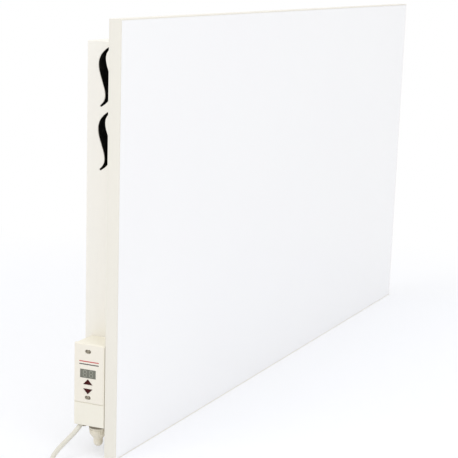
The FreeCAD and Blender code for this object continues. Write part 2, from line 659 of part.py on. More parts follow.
def face_openings(owner, name, lift, depth, wells=()):
    """Openings of the face for the display, the two keys and any screw wells."""
    openings = sketch_on(owner, name, "YZ_Plane", lift)
    rectangle(openings, ("face_middle - display_width / 2", "box_bottom + display_low"),
              ("face_middle + display_width / 2", "box_bottom + display_low + display_height"))
    for pointing in (1, -1):
        polygon(openings, triangle(pointing, "button_clear"))
    for rise in wells:
        obround(openings, ("face_middle", f"box_bottom + {rise}"), "recess_length", "recess_width")
    pocket(owner, name + "_cut", openings, depth, back=True)


upper = cover("upper_cover", "seam", "box_top")
face_openings(upper, "cover_openings", "box_face", "box_wall")
for rise in screw_rises:
    recess = sketch_on(upper, rise + "_recess", "YZ_Plane", "box_face")
    obround(recess, ("face_middle", f"box_bottom + {rise}"), "recess_length", "recess_width")
    pocket(upper, rise + "_recess_cut", recess, "recess_depth", back=True)
screw_ways = [rod(f"screw_way_{i}", ("box_face - spare", "face_middle", f"box_bottom + {rise}"),
                  "cover_screw_radius + screw_clear", "box_thick", ALONG_X)
              for i, rise in enumerate(screw_rises)]
node(cut("control_cover", upper, *screw_ways))
overlay = node(doc.addObject("PartDesign::Body", "face_overlay"))
film = sketch_on(overlay, "film_outline", "YZ_Plane", "box_face")
rectangle(film, ("box_front + overlay_margin", "seam + overlay_margin / 2"),
          ("box_front + box_width - overlay_margin", "box_top - overlay_margin"))
pad(overlay, "film_sheet", film, "overlay_sheet", back=True)
face_openings(overlay, "film_openings", "box_face - overlay_sheet", "overlay_sheet", screw_rises)

# Rubber seals on the floors of the two oval screw wells

seals = []
for rise in screw_rises:
    seal = doc.addObject("PartDesign::Body", rise + "_seal")
    oval = sketch_on(seal, rise + "_oval", "YZ_Plane", "box_face + recess_depth")
    obround(oval, ("face_middle", f"box_bottom + {rise}"), "recess_length - 2 * seal_clear",
            "recess_width - 2 * seal_clear")
    pad(seal, rise + "_seal_sheet", oval, "seal_sheet", back=True)
    seals.append(cut(rise + "_seal_ring", seal, *screw_ways))
node(group("well_seals", *seals))

# Display: a smoked lens with side lips behind the face, and the module on the board

lens_low = ("box_face - overlay_sheet / 2", "face_middle - display_width / 2 + lens_clear",
            "box_bottom + display_low + lens_clear")
lens_height = "display_height - 2 * lens_clear"
lens_pane = block("lens_pane", lens_low,
                  ("box_wall + overlay_sheet / 2", "display_width - 2 * lens_clear", lens_height))
lens_lips = block("lens_lips",
                  ("box_face + box_wall", "face_middle - display_width / 2 - lens_lip", lens_low[2]),
                  ("board_front - box_face - box_wall - switch_height - module_gap",
                   "display_width + 2 * lens_lip", lens_height))
node(fuse("display_lens", lens_pane, lens_lips))
node(block("display_module",
           ("board_front - switch_height", "face_middle - display_width / 2", lens_low[2]),
           ("switch_height", "display_width", lens_height)))

# Keys: triangular caps with a lip behind the face and a stem to the switch

key_lip_x = "box_face + box_wall + lens_clear / 2"
stem_end = "board_front - switch_height - plunger_height - stem_gap"
switches = []
for name, pointing in (("up_button", 1), ("down_button", -1)):
    key = doc.addObject("PartDesign::Body", name + "_cap")
    cap = sketch_on(key, name + "_outline", "YZ_Plane", key_lip_x)
    polygon(cap, triangle(pointing, "0"))
    pad(key, name + "_pad", cap, f"{key_lip_x} - box_face + overlay_sheet + button_proud", back=True)
    key_z = f"button_middle + {pointing} * (button_gap / 2 + stem_rise)"
    lip = block(name + "_lip", (key_lip_x, "face_middle - button_base / 2 - button_lip",
                                f"{key_z} - button_height / 2"),
                ("button_lip", "button_base + 2 * button_lip", "button_height"))
    stem = rod(name + "_stem", (key_lip_x, "face_middle", key_z), "stem_radius",
               f"{stem_end} - ({key_lip_x})", ALONG_X)
    node(fuse(name, key, lip, stem))
    seat = ("board_front - switch_height", "face_middle - switch_side / 2", f"{key_z} - switch_side / 2")
    housing = block(name + "_switch", seat, ("switch_height", "switch_side", "switch_side"))
    plunger = rod(name + "_plunger", ("board_front - switch_height - plunger_height", "face_middle", key_z),
                  "stem_radius", "plunger_height + spare", ALONG_X)
    switches.append(fuse(name + "_tact", housing, plunger))
node(group("tact_switches", *switches))

# Circuit board on the base's posts, with the relay and the capacitor behind it

board_low = ("board_front", f"{inside_low[0]} + board_clear", "seam + box_wall + board_clear")
board = block("board_sheet_blank", board_low, ("board_sheet", "box_width - 2 * (box_wall + board_clear)",
                                               "box_top - seam - 2 * (box_wall + board_clear)"))
node(cut("control_board", board, *screw_ways))
node(block("relay", ("board_back", "face_middle - relay_width / 2", "box_bottom + relay_rise"),
           ("relay_height", "relay_width", "relay_length")))
node(block("film_capacitor",
           ("board_back", "face_middle - capacitor_width / 2", "box_bottom + capacitor_rise"),
           ("capacitor_height", "capacitor_width", "capacitor_length")))
fasteners = []
for i, rise in enumerate(screw_rises):
    seat = ("box_face + recess_depth - seal_sheet", "face_middle", f"box_bottom + {rise}")
    shank = rod(f"cover_shank_{i}", seat, "cover_screw_radius", f"board_back + bite - ({seat[0]})", ALONG_X)
    head = rod(f"cover_head_{i}", (f"{seat[0]} - cover_head", seat[1], seat[2]), "cover_head_radius",
               "cover_head", ALONG_X)
    fasteners.append(fuse(f"cover_screw_{i}", shank, head))
node(group("cover_screws", *fasteners))
clamp_low = ("base_floor - supply_thick", "grommet_y - supply_width / 2", "box_bottom + supply_rise")
clamp_body = block("supply_block", clamp_low, ("supply_thick", "supply_width", "supply_height"))
clamp_bores = [rod(f"supply_bore_{i}", (f"{clamp_low[0]} + supply_thick / 2",
                                        f"{clamp_low[1]} + ({i} + 0.5) * supply_width / block_ways",
                                        f"{clamp_low[2]} - spare"),
                   "block_wire", "supply_height + 2 * spare") for i in range(ways)]
node(cut("supply_terminals", clamp_body, *clamp_bores))

# Cable gland: hexagon body and spigot, washer, locknut inside, tapered nut and domed plug below


def hexagon(name, flats, place, height):
    prism = doc.addObject("Part::Prism", name)
    prism.Polygon = 6
    prism.setExpression("Circumradius", bound(f"({flats}) / sqrt(3)"))
    prism.setExpression("Height", bound(height))
    for axis, text in zip("xyz", place):
        prism.setExpression("Placement.Base." + axis, bound(text))
    return prism


axis_x = "gland_axis_x"
axis_y = "gland_axis_y"
hex_top = "box_bottom - gland_washer"
nut_top = f"{hex_top} - gland_hex"
dome_top = f"{nut_top} - gland_nut"
spigot = rod("gland_thread", (axis_x, axis_y, hex_top), "gland_spigot",
             "gland_washer + box_wall + locknut + 2 * spare")
neck = rod("gland_neck", (axis_x, axis_y, f"{nut_top} - gland_nut / 2"), "gland_spigot",
           "gland_nut / 2")
flats = hexagon("gland_flange", "gland_flats", (axis_x, axis_y, nut_top), "gland_hex")
node(fuse("gland_body", spigot, flats, neck))
washer = rod("washer_disc", (axis_x, axis_y, hex_top), "gland_radius - washer_inset", "gland_washer")
washer_hole = rod("washer_hole", (axis_x, axis_y, f"{hex_top} - spare"), "gland_spigot + screw_clear",
                  "gland_washer + 2 * spare")
node(cut("gland_washer", washer, washer_hole))
nut_disc = hexagon("locknut_disc", "gland_flats - spare", (axis_x, axis_y, "box_bottom + box_wall"),
                   "locknut")
nut_hole = rod("locknut_hole", (axis_x, axis_y, "box_bottom"), "gland_spigot + screw_clear",
               "locknut + box_wall + spare")
node(cut("gland_locknut", nut_disc, nut_hole))
collar = rod("nut_collar", (axis_x, axis_y, f"{nut_top} - gland_collar"), "gland_radius",
             "gland_collar")
taper = solid("Cone", "nut_taper", (axis_x, axis_y, dome_top), Radius1="gland_nut_end",
              Radius2="gland_radius", Height="gland_nut - gland_collar")
socket = rod("nut_socket", (axis_x, axis_y, f"{nut_top} - gland_nut / 2"), "gland_spigot + screw_clear",
             "gland_nut")
dome_way = rod("nut_way", (axis_x, axis_y, f"{dome_top} - spare"), "gland_dome + screw_clear", "gland_nut")
node(cut("gland_nut", fuse("nut_blank", collar, taper), socket, dome_way))
dome_low = f"{dome_top} - gland_dome_length + gland_dome"
shaft = rod("dome_shaft", (axis_x, axis_y, dome_low), "gland_dome",
            "gland_dome_length - gland_dome + gland_nut / 2")
ball = solid("Sphere", "dome_ball", (axis_x, axis_y, dome_low), Radius="gland_dome")
node(fuse("gland_plug", shaft, ball))

# Mains cord: out of the box's bottom, down to the floor and on to its coil

cord_radius = size("cord_diameter") / 2
exit_point = Vector(wall_x - size("casing_sheet") - size("cord_x"),
                    front_y + size("casing_sheet") + size("cord_y"), floor_z + size("box_lift"))


def from_exit(reach, shift, lift):
    """A point to the left of the exit, moved towards the wall and raised from the floor."""
    return Vector(exit_point.x - reach, exit_point.y + shift, floor_z + lift)


coil_lift = size("tie_lift") + size("tie_sheet") + size("tie_clear") + cord_radius
coil_start = from_exit(size("coil_reach"), size("coil_shift"), coil_lift)
coil_entry = coil_start + Vector(size("cord_diameter"), 0, 0)
lead_points = [exit_point + Vector(0, 0, size("cord_inside")), exit_point - Vector(0, 0, size("cord_drop")),
               from_exit(size("touch_reach"), size("touch_shift"), size("touch_lift")),
               from_exit(size("run_reach"), size("run_shift"), size("run_lift")),
               from_exit(size("approach_reach"), size("coil_shift"), coil_lift), coil_entry]
lead_wire = route(lead_points)
down = Vector(0, 0, -1)
cord = node(doc.addObject("Part::Feature", "cord_lead"))
cord.Shape = tube(lead_wire, lead_points[0], down, cord_radius)
cord.Placement = FreeCAD.Placement()

# Bushing of the cord: a snap-in collar whose bore follows the cord's bend

collar_blank = rod("bushing_collar", ("exit_x", "exit_y", "box_bottom - bushing_flange"), "bushing_radius",
                   "bushing_flange + box_wall + bushing_tail")
brim = rod("bushing_brim", ("exit_x", "exit_y", "box_bottom - bushing_flange"),
           "bushing_radius + bushing_lip", "bushing_flange")
barb = doc.addObject("Part::Feature", "bushing_bore")
barb.Shape = tube(lead_wire, lead_points[0], down, cord_radius + size("bushing_clear"))
bore_top = rod("bushing_top", ("exit_x", "exit_y", "box_bottom + box_wall"),
               "cord_diameter / 2 + bushing_clear", "2 * bushing_tail")
node(cut("cord_bushing", fuse("bushing_blank", collar_blank, brim), barb, bore_top))

# Coil of the unseen length: half turns that spiral in on the floor, climb one layer in the half turn
# where the spiral reverses, and spiral out again on top

pitch = size("cord_diameter") + size("coil_gap")
inward_turns = int(size("coil_half_turns"))
radii = [size("coil_radius") - i * pitch / 2 for i in range(inward_turns + 1)]
radii += radii[-2:0:-1]
here = coil_start
coil_edges = [Part.makeLine(coil_entry, here)]
samples = []
arc_samples = 60
far_samples = 45
for i, radius in enumerate(radii):
    side = 1 if i % 2 == 0 else -1
    rise = Vector(0, 0, pitch if i == inward_turns else 0)
    end = here + Vector(0, 2 * side * radius, 0) + rise
    middle = (here + end) / 2
    crown = middle - Vector(side * (end - here).Length / 2, 0, 0)
    arc = Part.Arc(here, crown, end).toShape()
    coil_edges.append(arc)
    samples += arc.discretize(arc_samples)
    here = end
coil_end = here + Vector(-size("cord_diameter"), 0, 0)
coil_edges.append(Part.makeLine(here, coil_end))
gaps = [(a - b).Length - 2 * cord_radius for i, a in enumerate(samples) for b in samples[i + far_samples:]]
print(f"coil self gap {min(gaps):.2f}")
coil = node(doc.addObject("Part::Feature", "cord_coil"))
coil.Shape = tube(Part.Wire(coil_edges), coil_entry, Vector(-1, 0, 0), cord_radius)
coil.Placement = FreeCAD.Placement()

# Strap round the coil's turns on their inner side

tie_y = coil_start.y + size("coil_radius") + pitch / 2
sag = size("tie_width") ** 2 / (8 * radii[inward_turns])
inner_x = coil_start.x + radii[inward_turns] - cord_radius - sag - size("tie_clear")
outer_x = coil_start.x + radii[1] + cord_radius + size("tie_clear")
tie_low = Vector(inner_x, tie_y - size("tie_width") / 2, coil_entry.z - cord_radius - size("tie_clear"))
tie_span = Vector(outer_x - inner_x, size("tie_width"), 2 * cord_radius + pitch + 2 * size("tie_clear"))
rim = Vector(size("tie_sheet"), 0, size("tie_sheet"))
past = Vector(0, size("spare"), 0)
tie_hole = Part.makeBox(*(tie_span + past * 2), tie_low - past)
tie = node(doc.addObject("Part::Feature", "coil_tie"))
tie.Shape = Part.makeBox(*(tie_span + rim * 2), tie_low - rim).cut(tie_hole)
tie.Placement = FreeCAD.Placement()

# End of the cord, from the top of the coil up to the plug's axis

plug_z = floor_z + size("plug_radius")
rise = plug_z - coil_end.z
tail_run = size("tail_run")
tail_shift = size("tail_shift")
tail_points = [coil_end, coil_end + Vector(-tail_run, 0, 0),
               coil_end + Vector(-2 * tail_run, tail_shift, rise),
               coil_end + Vector(-3 * tail_run, tail_shift, rise)]
tail = node(doc.addObject("Part::Feature", "cord_tail"))
tail.Shape = lead(tail_points, cord_radius)
tail.Placement = FreeCAD.Placement()

# Earthed plug lying on its rim, with its pins away from the coil

plug_start = tail_points[-1]
plug_profile = [(0, 0), (0, size("plug_boot_end")), (size("plug_boot"), size("plug_neck")),
                (size("plug_boot") + size("plug_bevel"), size("plug_bevel_radius")),
                (size("plug_boot") + size("plug_shoulder"), size("plug_radius")),
                (size("plug_boot") + size("plug_body"), size("plug_radius")),
                (size("plug_boot") + size("plug_body"), 0)]
corners = [plug_start + Vector(-along, 0, out) for along, out in plug_profile]
profile = Part.Face(Part.makePolygon(corners + corners[:1]))
blank = profile.revolve(plug_start, Vector(1, 0, 0), 360)
face_x = plug_start.x - size("plug_boot") - size("plug_body")
clip_length = size("plug_body") - size("plug_shoulder")
groove_floor = plug_z + size("plug_radius") - size("groove_depth")
groove_low = Vector(face_x, plug_start.y - size("clip_width") / 2, groove_floor)
clip_shapes = []
for turn in (0, 180):
    groove = Part.makeBox(clip_length, size("clip_width"), size("groove_depth"), groove_low)
    strip = Part.makeBox(clip_length, size("clip_width"), size("clip_sheet"), groove_low)
    for shape in (groove, strip):
        shape.rotate(plug_start, Vector(1, 0, 0), turn)
    blank = blank.cut(groove)
    clip_shapes.append(strip)
plug = node(doc.addObject("Part::Feature", "plug_body"))
plug.Shape = blank
plug.Placement = FreeCAD.Placement()
clips = node(doc.addObject("Part::Feature", "plug_clips"))
clips.Shape = Part.makeCompound(clip_shapes)
clips.Placement = FreeCAD.Placement()
pins = node(doc.addObject("Part::Feature", "plug_pins"))
pin_shapes = []
for side in (-1, 1):
    foot = Vector(face_x, plug_start.y + side * size("pin_spacing") / 2, plug_z)
    straight = size("pin_length") - size("pin_radius")
    shank = Part.makeCylinder(size("pin_radius"), straight, foot, Vector(-1, 0, 0))
    tip = Part.makeSphere(size("pin_radius"), foot - Vector(straight, 0, 0))
    pin_shapes.append(shank.fuse(tip).removeSplitter())
pins.Shape = Part.makeCompound(pin_shapes)
pins.Placement = FreeCAD.Placement()

# Checks, then one STEP file for each piece

doc.recompute()
for item in doc.Objects:
    if "Invalid" in item.State or "Error" in item.State:
        raise RuntimeError(f"{item.Label} failed: {item.State}")
for item in nodes:
    if item.Shape.isNull() or not item.Shape.isValid() or not item.Shape.Solids:
        raise RuntimeError(f"{item.Label} has no valid solid")
os.makedirs("parts", exist_ok=True)
for item in nodes:
    item.Shape.exportStep(f"parts/{item.Label}.step")
    print(item.Label, len(item.Shape.Solids), round(item.Shape.Volume))
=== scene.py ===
import math

import bmesh
import bpy
from mathutils import Matrix, Vector


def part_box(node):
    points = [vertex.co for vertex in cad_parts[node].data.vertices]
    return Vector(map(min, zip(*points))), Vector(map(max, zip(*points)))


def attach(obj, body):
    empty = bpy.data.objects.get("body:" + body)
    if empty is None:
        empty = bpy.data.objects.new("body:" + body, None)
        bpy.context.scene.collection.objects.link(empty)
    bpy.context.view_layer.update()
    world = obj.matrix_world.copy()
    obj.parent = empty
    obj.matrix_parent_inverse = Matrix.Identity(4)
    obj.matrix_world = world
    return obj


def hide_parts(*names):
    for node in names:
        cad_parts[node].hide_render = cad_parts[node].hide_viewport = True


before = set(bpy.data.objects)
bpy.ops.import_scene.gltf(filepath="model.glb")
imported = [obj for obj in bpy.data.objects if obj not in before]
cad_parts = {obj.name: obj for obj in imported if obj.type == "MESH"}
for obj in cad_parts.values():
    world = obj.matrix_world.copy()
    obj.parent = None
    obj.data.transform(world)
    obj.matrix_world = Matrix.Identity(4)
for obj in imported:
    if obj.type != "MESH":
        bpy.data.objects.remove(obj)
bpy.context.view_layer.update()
MM = 0.001

# Front tile: a large stoneware slab, dust-pressed, glazed white and fired. Its face edge is a small, soft
# cushion, and white sealant fills its joint with the rails.


def linear(code):
    """A hex sRGB colour as linear RGBA."""
    parts = [int(code[i:i + 2], 16) / 255 for i in (1, 3, 5)]
    return [c / 12.92 if c <= 0.04045 else ((c + 0.055) / 1.055) ** 2.4 for c in parts] + [1.0]


def add(material, kind, inputs, **settings):
    """Adds a node, or takes the shader already there. An input is a value or the socket that feeds it."""
    material.use_nodes = True
    tree = material.node_tree
    known = {"BsdfPrincipled": "Principled BSDF", "OutputMaterial": "Material Output",
             "Background": "Background"}
    node = tree.nodes[known[kind]] if kind in known else tree.nodes.new("ShaderNode" + kind)
    for name, value in settings.items():
        setattr(node, name, value)
    for name, value in inputs.items():
        if isinstance(value, bpy.types.NodeSocket):
            tree.links.new(value, node.inputs[name])
        else:
            node.inputs[name].default_value = value
    return node


def block(low, high):
    """A bmesh block between two corners."""
    mesh = bmesh.new()
    bmesh.ops.create_cube(mesh, size=1)
    bmesh.ops.scale(mesh, vec=Vector(high) - Vector(low), verts=mesh.verts)
    bmesh.ops.translate(mesh, vec=(Vector(high) + Vector(low)) / 2, verts=mesh.verts)
    return mesh


def round_off(mesh, edges, radius, segments=4):
    """Rounds edges of a bmesh."""
    bmesh.ops.bevel(mesh, geom=list(edges), offset=radius, segments=segments, affect="EDGES",
                    profile=0.5, material=-1, clamp_overlap=True)


CREASE = math.radians(35)


def piece(name, mesh, material, stands_for=(), body="heater"):
    """Makes a bmesh a piece of the object: smooth apart from its creases, and riding on a body."""
    data = bpy.data.meshes.new(name)
    mesh.to_mesh(data)
    mesh.free()
    data.materials.append(material)
    data.shade_smooth()
    data.set_sharp_from_angle(angle=CREASE)
    made = bpy.data.objects.new(name, data)
    bpy.context.scene.collection.objects.link(made)
    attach(made, body)
    if stands_for:
        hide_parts(*stands_for)
    return made


# Glaze over a pale body: a clear gloss with long, faint waves where it levelled in the kiln, and a
# slightly greyer white where it is thin
glaze = bpy.data.materials.new("white_glaze")
place = add(glaze, "TexCoord", {}).outputs["Object"]
WAVE = 45 * MM
wave = add(glaze, "TexNoise", {"Vector": place, "Scale": 1 / WAVE, "Detail": 2.0}).outputs["Fac"]
level = add(glaze, "Bump", {"Height": wave, "Strength": 0.25, "Distance": 0.06 * MM}).outputs["Normal"]
PATCH = 180 * MM
patch = add(glaze, "TexNoise", {"Vector": place, "Scale": 1 / PATCH, "Detail": 3.0}).outputs["Fac"]
white = add(glaze, "MixRGB", {"Fac": patch, "Color1": linear("#f7f6f6"), "Color2": linear("#f9f9f8")})
add(glaze, "BsdfPrincipled", {"Base Color": white.outputs["Color"], "Roughness": 0.16, "IOR": 1.5,
                              "Normal": level})

tile_low, tile_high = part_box("ceramic_panel")
JOINT = 0.2 * MM
CUSHION = 0.6 * MM
TOUCH = 0.01 * MM
tile = block(tile_low - Vector((JOINT, 0, JOINT)), tile_high + Vector((JOINT, 0, JOINT)))
corners = [e for e in tile.edges if abs(e.verts[0].co.y - e.verts[1].co.y) > CUSHION]
round_off(tile, corners, CUSHION)
face_edges = [e for e in tile.edges if all(v.co.y < tile_low.y + TOUCH for v in e.verts)]
round_off(tile, face_edges, CUSHION, segments=6)
piece("tile", tile, glaze, ["ceramic_panel"])

# Frame rails: four L-sections folded from sheet steel, mitred round the tile and powder coated cream.
# Powder melts into a skin with a fine orange peel.

PEEL = 1.6 * MM
DRIFT = 120 * MM


def powder_coat(name, deep, pale):
    """A sprayed and baked powder finish between two close tones."""
    made = bpy.data.materials.new(name)
    place = add(made, "TexCoord", {}).outputs["Object"]
    peel = add(made, "TexNoise", {"Vector": place, "Scale": 1 / PEEL, "Detail": 2.0}).outputs["Fac"]
    skin = add(made, "Bump", {"Height": peel, "Strength": 0.12, "Distance": 0.05 * MM}).outputs["Normal"]
    drift = add(made, "TexNoise", {"Vector": place, "Scale": 1 / DRIFT, "Detail": 2.0}).outputs["Fac"]
    cream = add(made, "MixRGB", {"Fac": drift, "Color1": linear(deep), "Color2": linear(pale)})
    add(made, "BsdfPrincipled", {"Base Color": cream.outputs["Color"], "Roughness": 0.42, "IOR": 1.5,
                                 "Normal": skin})
    return made


# The rails' copy of the cream coat is a little deeper than the coat's own tone: painted shade. The casing's
# paler copy is painted light.
coat = powder_coat("cream_coat_painted_shade", "#ece8dc", "#efebe0")
SHEET = 1.2 * MM
FOLD = 0.8 * MM
LIP_ROUND = 0.3 * MM
MITRE_GAP = 0.12 * MM
LIP_STEP = 0.3 * MM
lip = tile_low.y + LIP_STEP
for name, inward in (("bottom", (0, 0, 1)), ("left", (1, 0, 0)), ("top", (0, 0, -1)),
                     ("right", (-1, 0, 0))):
    low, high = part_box("frame_rail_" + name)
    inward = Vector(inward)
    along = Vector((abs(inward.z), 0, abs(inward.x)))
    half = (high - low).dot(along) / 2
    width = abs((high - low).dot(inward))
    outer = (low + high) / 2 - inward * width / 2
    section = [(0, lip), (SHEET, lip), (SHEET, high.y - SHEET), (width, high.y - SHEET), (width, high.y),
               (0, high.y)]
    rail = bmesh.new()
    ring = []
    for reach, depth in section:
        spot = outer + inward * reach - along * (half - reach)
        ring.append(rail.verts.new((spot.x, depth, spot.z)))
    pulled = bmesh.ops.extrude_face_region(rail, geom=[rail.faces.new(ring)])
    for corner in [v for v in pulled["geom"] if isinstance(v, bmesh.types.BMVert)]:
        corner.co += along * 2 * (half - (corner.co - outer).dot(inward))
    bmesh.ops.recalc_face_normals(rail, faces=rail.faces)
    mitres = [e for e in rail.edges if abs((e.verts[0].co - e.verts[1].co).dot(along)) < half]
    round_off(rail, mitres, MITRE_GAP, segments=1)
    for depth, radius in ((high.y, FOLD), (lip, LIP_ROUND)):
        rim = [e for e in rail.edges if abs((e.verts[0].co - e.verts[1].co).dot(along)) > half
               and all(abs((v.co - outer).dot(inward)) + abs(v.co.y - depth) < LIP_ROUND for v in e.verts)]
        round_off(rail, rim, radius)
    piece(name + "_rail", rail, coat, ["frame_rail_" + name])

# Rear casing: a pan folded from sheet steel in the rails' cream coat, with punched vents, inlets and
# keyholes.
# Its flange is screwed to the rails. Its copy of the coat is paler, as painted light that lifts it where
# the slab's overhang shades it.


def dress(material, *nodes):
    """Gives CAD nodes a finish."""
    for name in nodes:
        for place_on_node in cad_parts[name].material_slots:
            place_on_node.material = material


casing_coat_painted_light = powder_coat("cream_coat_painted_light", "#f5f1e8", "#f8f5ec")
dress(casing_coat_painted_light, "rear_casing")

# Fibre tape under the tile and the insulating mat on the casing's back: needled mineral fibre, dull and
# uneven. The mat's near-black is partly the fibre's own dark colour and partly painted shade for the dark
# inside the casing, so the vents look into the dark.

SPECK = 2.5 * MM
for name, dark, pale, nodes in (("fibre_tape", "#b8b5aa", "#d6d3c8", ["edge_gasket"]),
                                ("charcoal_fibre_mat_painted_shade", "#0c0b09", "#1a1916", ["insulation_mat"])):
    fibre = bpy.data.materials.new(name)
    place = add(fibre, "TexCoord", {}).outputs["Object"]
    fluff = add(fibre, "TexNoise", {"Vector": place, "Scale": 1 / SPECK, "Detail": 6.0}).outputs["Fac"]
    tint = add(fibre, "MixRGB", {"Fac": fluff, "Color1": linear(dark), "Color2": linear(pale)})
    nap = add(fibre, "Bump", {"Height": fluff, "Strength": 0.8, "Distance": 0.6 * MM}).outputs["Normal"]
    add(fibre, "BsdfPrincipled", {"Base Color": tint.outputs["Color"], "Roughness": 0.95, "Normal": nap})
    dress(fibre, *nodes)

# Heating cable and its cold leads: a resistance wire in extruded silicone, brick red and slightly satin.
# The cable lies to and fro on the tile's back.

silicone = bpy.data.materials.new("red_silicone")
place = add(silicone, "TexCoord", {}).outputs["Object"]
BLOOM = 6 * MM
bloom = add(silicone, "TexNoise", {"Vector": place, "Scale": 1 / BLOOM, "Detail": 3.0}).outputs["Fac"]
brick = add(silicone, "MixRGB", {"Fac": bloom, "Color1": linear("#7c2a1c"), "Color2": linear("#8f3a29")})
add(silicone, "BsdfPrincipled", {"Base Color": brick.outputs["Color"], "Roughness": 0.55, "IOR": 1.43})
dress(silicone, "heating_element", "element_leads")

# Heat spreader: a mill-finish aluminium sheet over the cable, with the faint lines that rolling leaves
# along its length

mill = bpy.data.materials.new("mill_aluminium")
place = add(mill, "TexCoord", {}).outputs["Object"]
ROLL = 0.8 * MM
STREAK = 60 * MM
lines = add(mill, "Mapping", {"Vector": place, "Scale": (1 / STREAK, 1 / ROLL, 1 / ROLL)}).outputs["Vector"]
roll = add(mill, "TexNoise", {"Vector": lines, "Scale": 1.0, "Detail": 3.0}).outputs["Fac"]
gloss = add(mill, "MapRange", {"Value": roll, "To Min": 0.3, "To Max": 0.5}).outputs["Result"]
add(mill, "BsdfPrincipled", {"Base Color": linear("#d4d5d6"), "Metallic": 1.0, "Roughness": gloss})
dress(mill, "heat_spreader")

# Base screws, mat straps and the probe's sleeve: zinc-plated steel. Plating leaves a cloudy, slightly
# blue grey.

zinc = bpy.data.materials.new("zinc_plate")
place = add(zinc, "TexCoord", {}).outputs["Object"]
CLOUD = 3 * MM
cloud = add(zinc, "TexNoise", {"Vector": place, "Scale": 1 / CLOUD, "Detail": 4.0}).outputs["Fac"]
plate = add(zinc, "MixRGB", {"Fac": cloud, "Color1": linear("#a9abad"), "Color2": linear("#c6c7c6")})
sheen = add(zinc, "MapRange", {"Value": cloud, "To Min": 0.28, "To Max": 0.45}).outputs["Result"]
add(zinc, "BsdfPrincipled", {"Base Color": plate.outputs["Color"], "Metallic": 1.0, "Roughness": sheen})
dress(zinc, "base_screws", "mat_straps", "sensor_probe")

# Flange screws: zinc-plated pan heads with a stamped cross recess, driven through the casing's flange into
# the rails. The control box takes the place of the lowest one on the left.

# A pan head's proportions: shares of its height, then of its radius
CROWN_ROUND = 0.6
RECESS_DEPTH = 0.6
RECESS_REACH = 0.42
RECESS_HALF = 0.12


def cross_screw(mesh, spot, axis, head_radius, head, shank_radius, shank):
    """Adds a pan-head screw with a cross recess. The spot is under its head, the axis points out of it."""
    made = bmesh.new()
    ring = bmesh.ops.create_cone(made, cap_ends=True, segments=32, radius1=head_radius, radius2=head_radius,
                                 depth=head)["verts"]
    bmesh.ops.translate(made, vec=(0, 0, head / 2), verts=ring)
    brim = [e for e in made.edges if all(v.co.z > head / 2 for v in e.verts)]
    round_off(made, brim, head * CROWN_ROUND)
    crown = max(made.faces, key=lambda f: f.calc_center_median().z)
    crown_edges = list(crown.edges)
    bmesh.ops.delete(made, geom=[crown], context="FACES_ONLY")
    arm = head_radius * RECESS_REACH
    groove = head_radius * RECESS_HALF
    arm_corners = ((arm, -groove), (arm, groove), (groove, groove))
    corners = []
    for quarter in range(4):
        turn = Matrix.Rotation(quarter * math.pi / 2, 3, "Z")
        corners += [made.verts.new(turn @ Vector((x, y, head))) for x, y in arm_corners]
    cross = [made.edges.new((a, b)) for a, b in zip(corners, corners[1:] + corners[:1])]
    bmesh.ops.bridge_loops(made, edges=crown_edges + cross)
    sunk = bmesh.ops.extrude_edge_only(made, edges=cross)["geom"]
    floor_verts = [v for v in sunk if isinstance(v, bmesh.types.BMVert)]
    bmesh.ops.translate(made, vec=(0, 0, -head * RECESS_DEPTH), verts=floor_verts)
    bmesh.ops.contextual_create(made, geom=[e for e in sunk if isinstance(e, bmesh.types.BMEdge)])
    rod = bmesh.ops.create_cone(made, cap_ends=True, segments=20, radius1=shank_radius,
                                radius2=shank_radius, depth=shank)["verts"]
    bmesh.ops.translate(made, vec=(0, 0, -shank / 2), verts=rod)
    bmesh.ops.recalc_face_normals(made, faces=made.faces)
    facing = Vector(axis).to_track_quat("Z", "Y").to_matrix().to_4x4()
    bmesh.ops.transform(made, matrix=facing, verts=made.verts)
    bmesh.ops.translate(made, vec=spot, verts=made.verts)
    data = bpy.data.meshes.new("screw")
    made.to_mesh(data)
    made.free()
    mesh.from_mesh(data)
    bpy.data.meshes.remove(data)


HEAD_RADIUS = 3.6 * MM
HEAD = 2.2 * MM
SHANK_RADIUS = 1.75 * MM
FLANGE = 11 * MM
SHARES_ALONG = (-0.75, -0.25, 0.25, 0.75)
SHARES_UP = (0.25, 0.5, 0.75)
flange_low, flange_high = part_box("rear_casing")
inner_low = flange_low + Vector((FLANGE, 0, FLANGE))
inner_high = flange_high - Vector((FLANGE, 0, FLANGE))
screw_low, screw_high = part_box("casing_screws")
seat_y = screw_high.y - HEAD
seats = []
for share in SHARES_ALONG:
    for edge_z in (inner_low.z - FLANGE / 2, inner_high.z + FLANGE / 2):
        seats.append((share * inner_high.x, seat_y, edge_z))
for share in SHARES_UP:
    up = inner_low.z + share * (inner_high.z - inner_low.z)
    seats.append((inner_high.x + FLANGE / 2, seat_y, up))
    if share > SHARES_UP[0]:
        seats.append((inner_low.x - FLANGE / 2, seat_y, up))
flange_screws = bmesh.new()
for seat in seats:
    cross_screw(flange_screws, seat, (0, 1, 0), HEAD_RADIUS, HEAD, SHANK_RADIUS, seat_y - screw_low.y)
piece("flange_screws", flange_screws, zinc, ["casing_screws"])

# Terminal block inside the casing and disc cut-out on the spreader: unglazed steatite, pressed and fired,
# which leaves it off-white and chalky

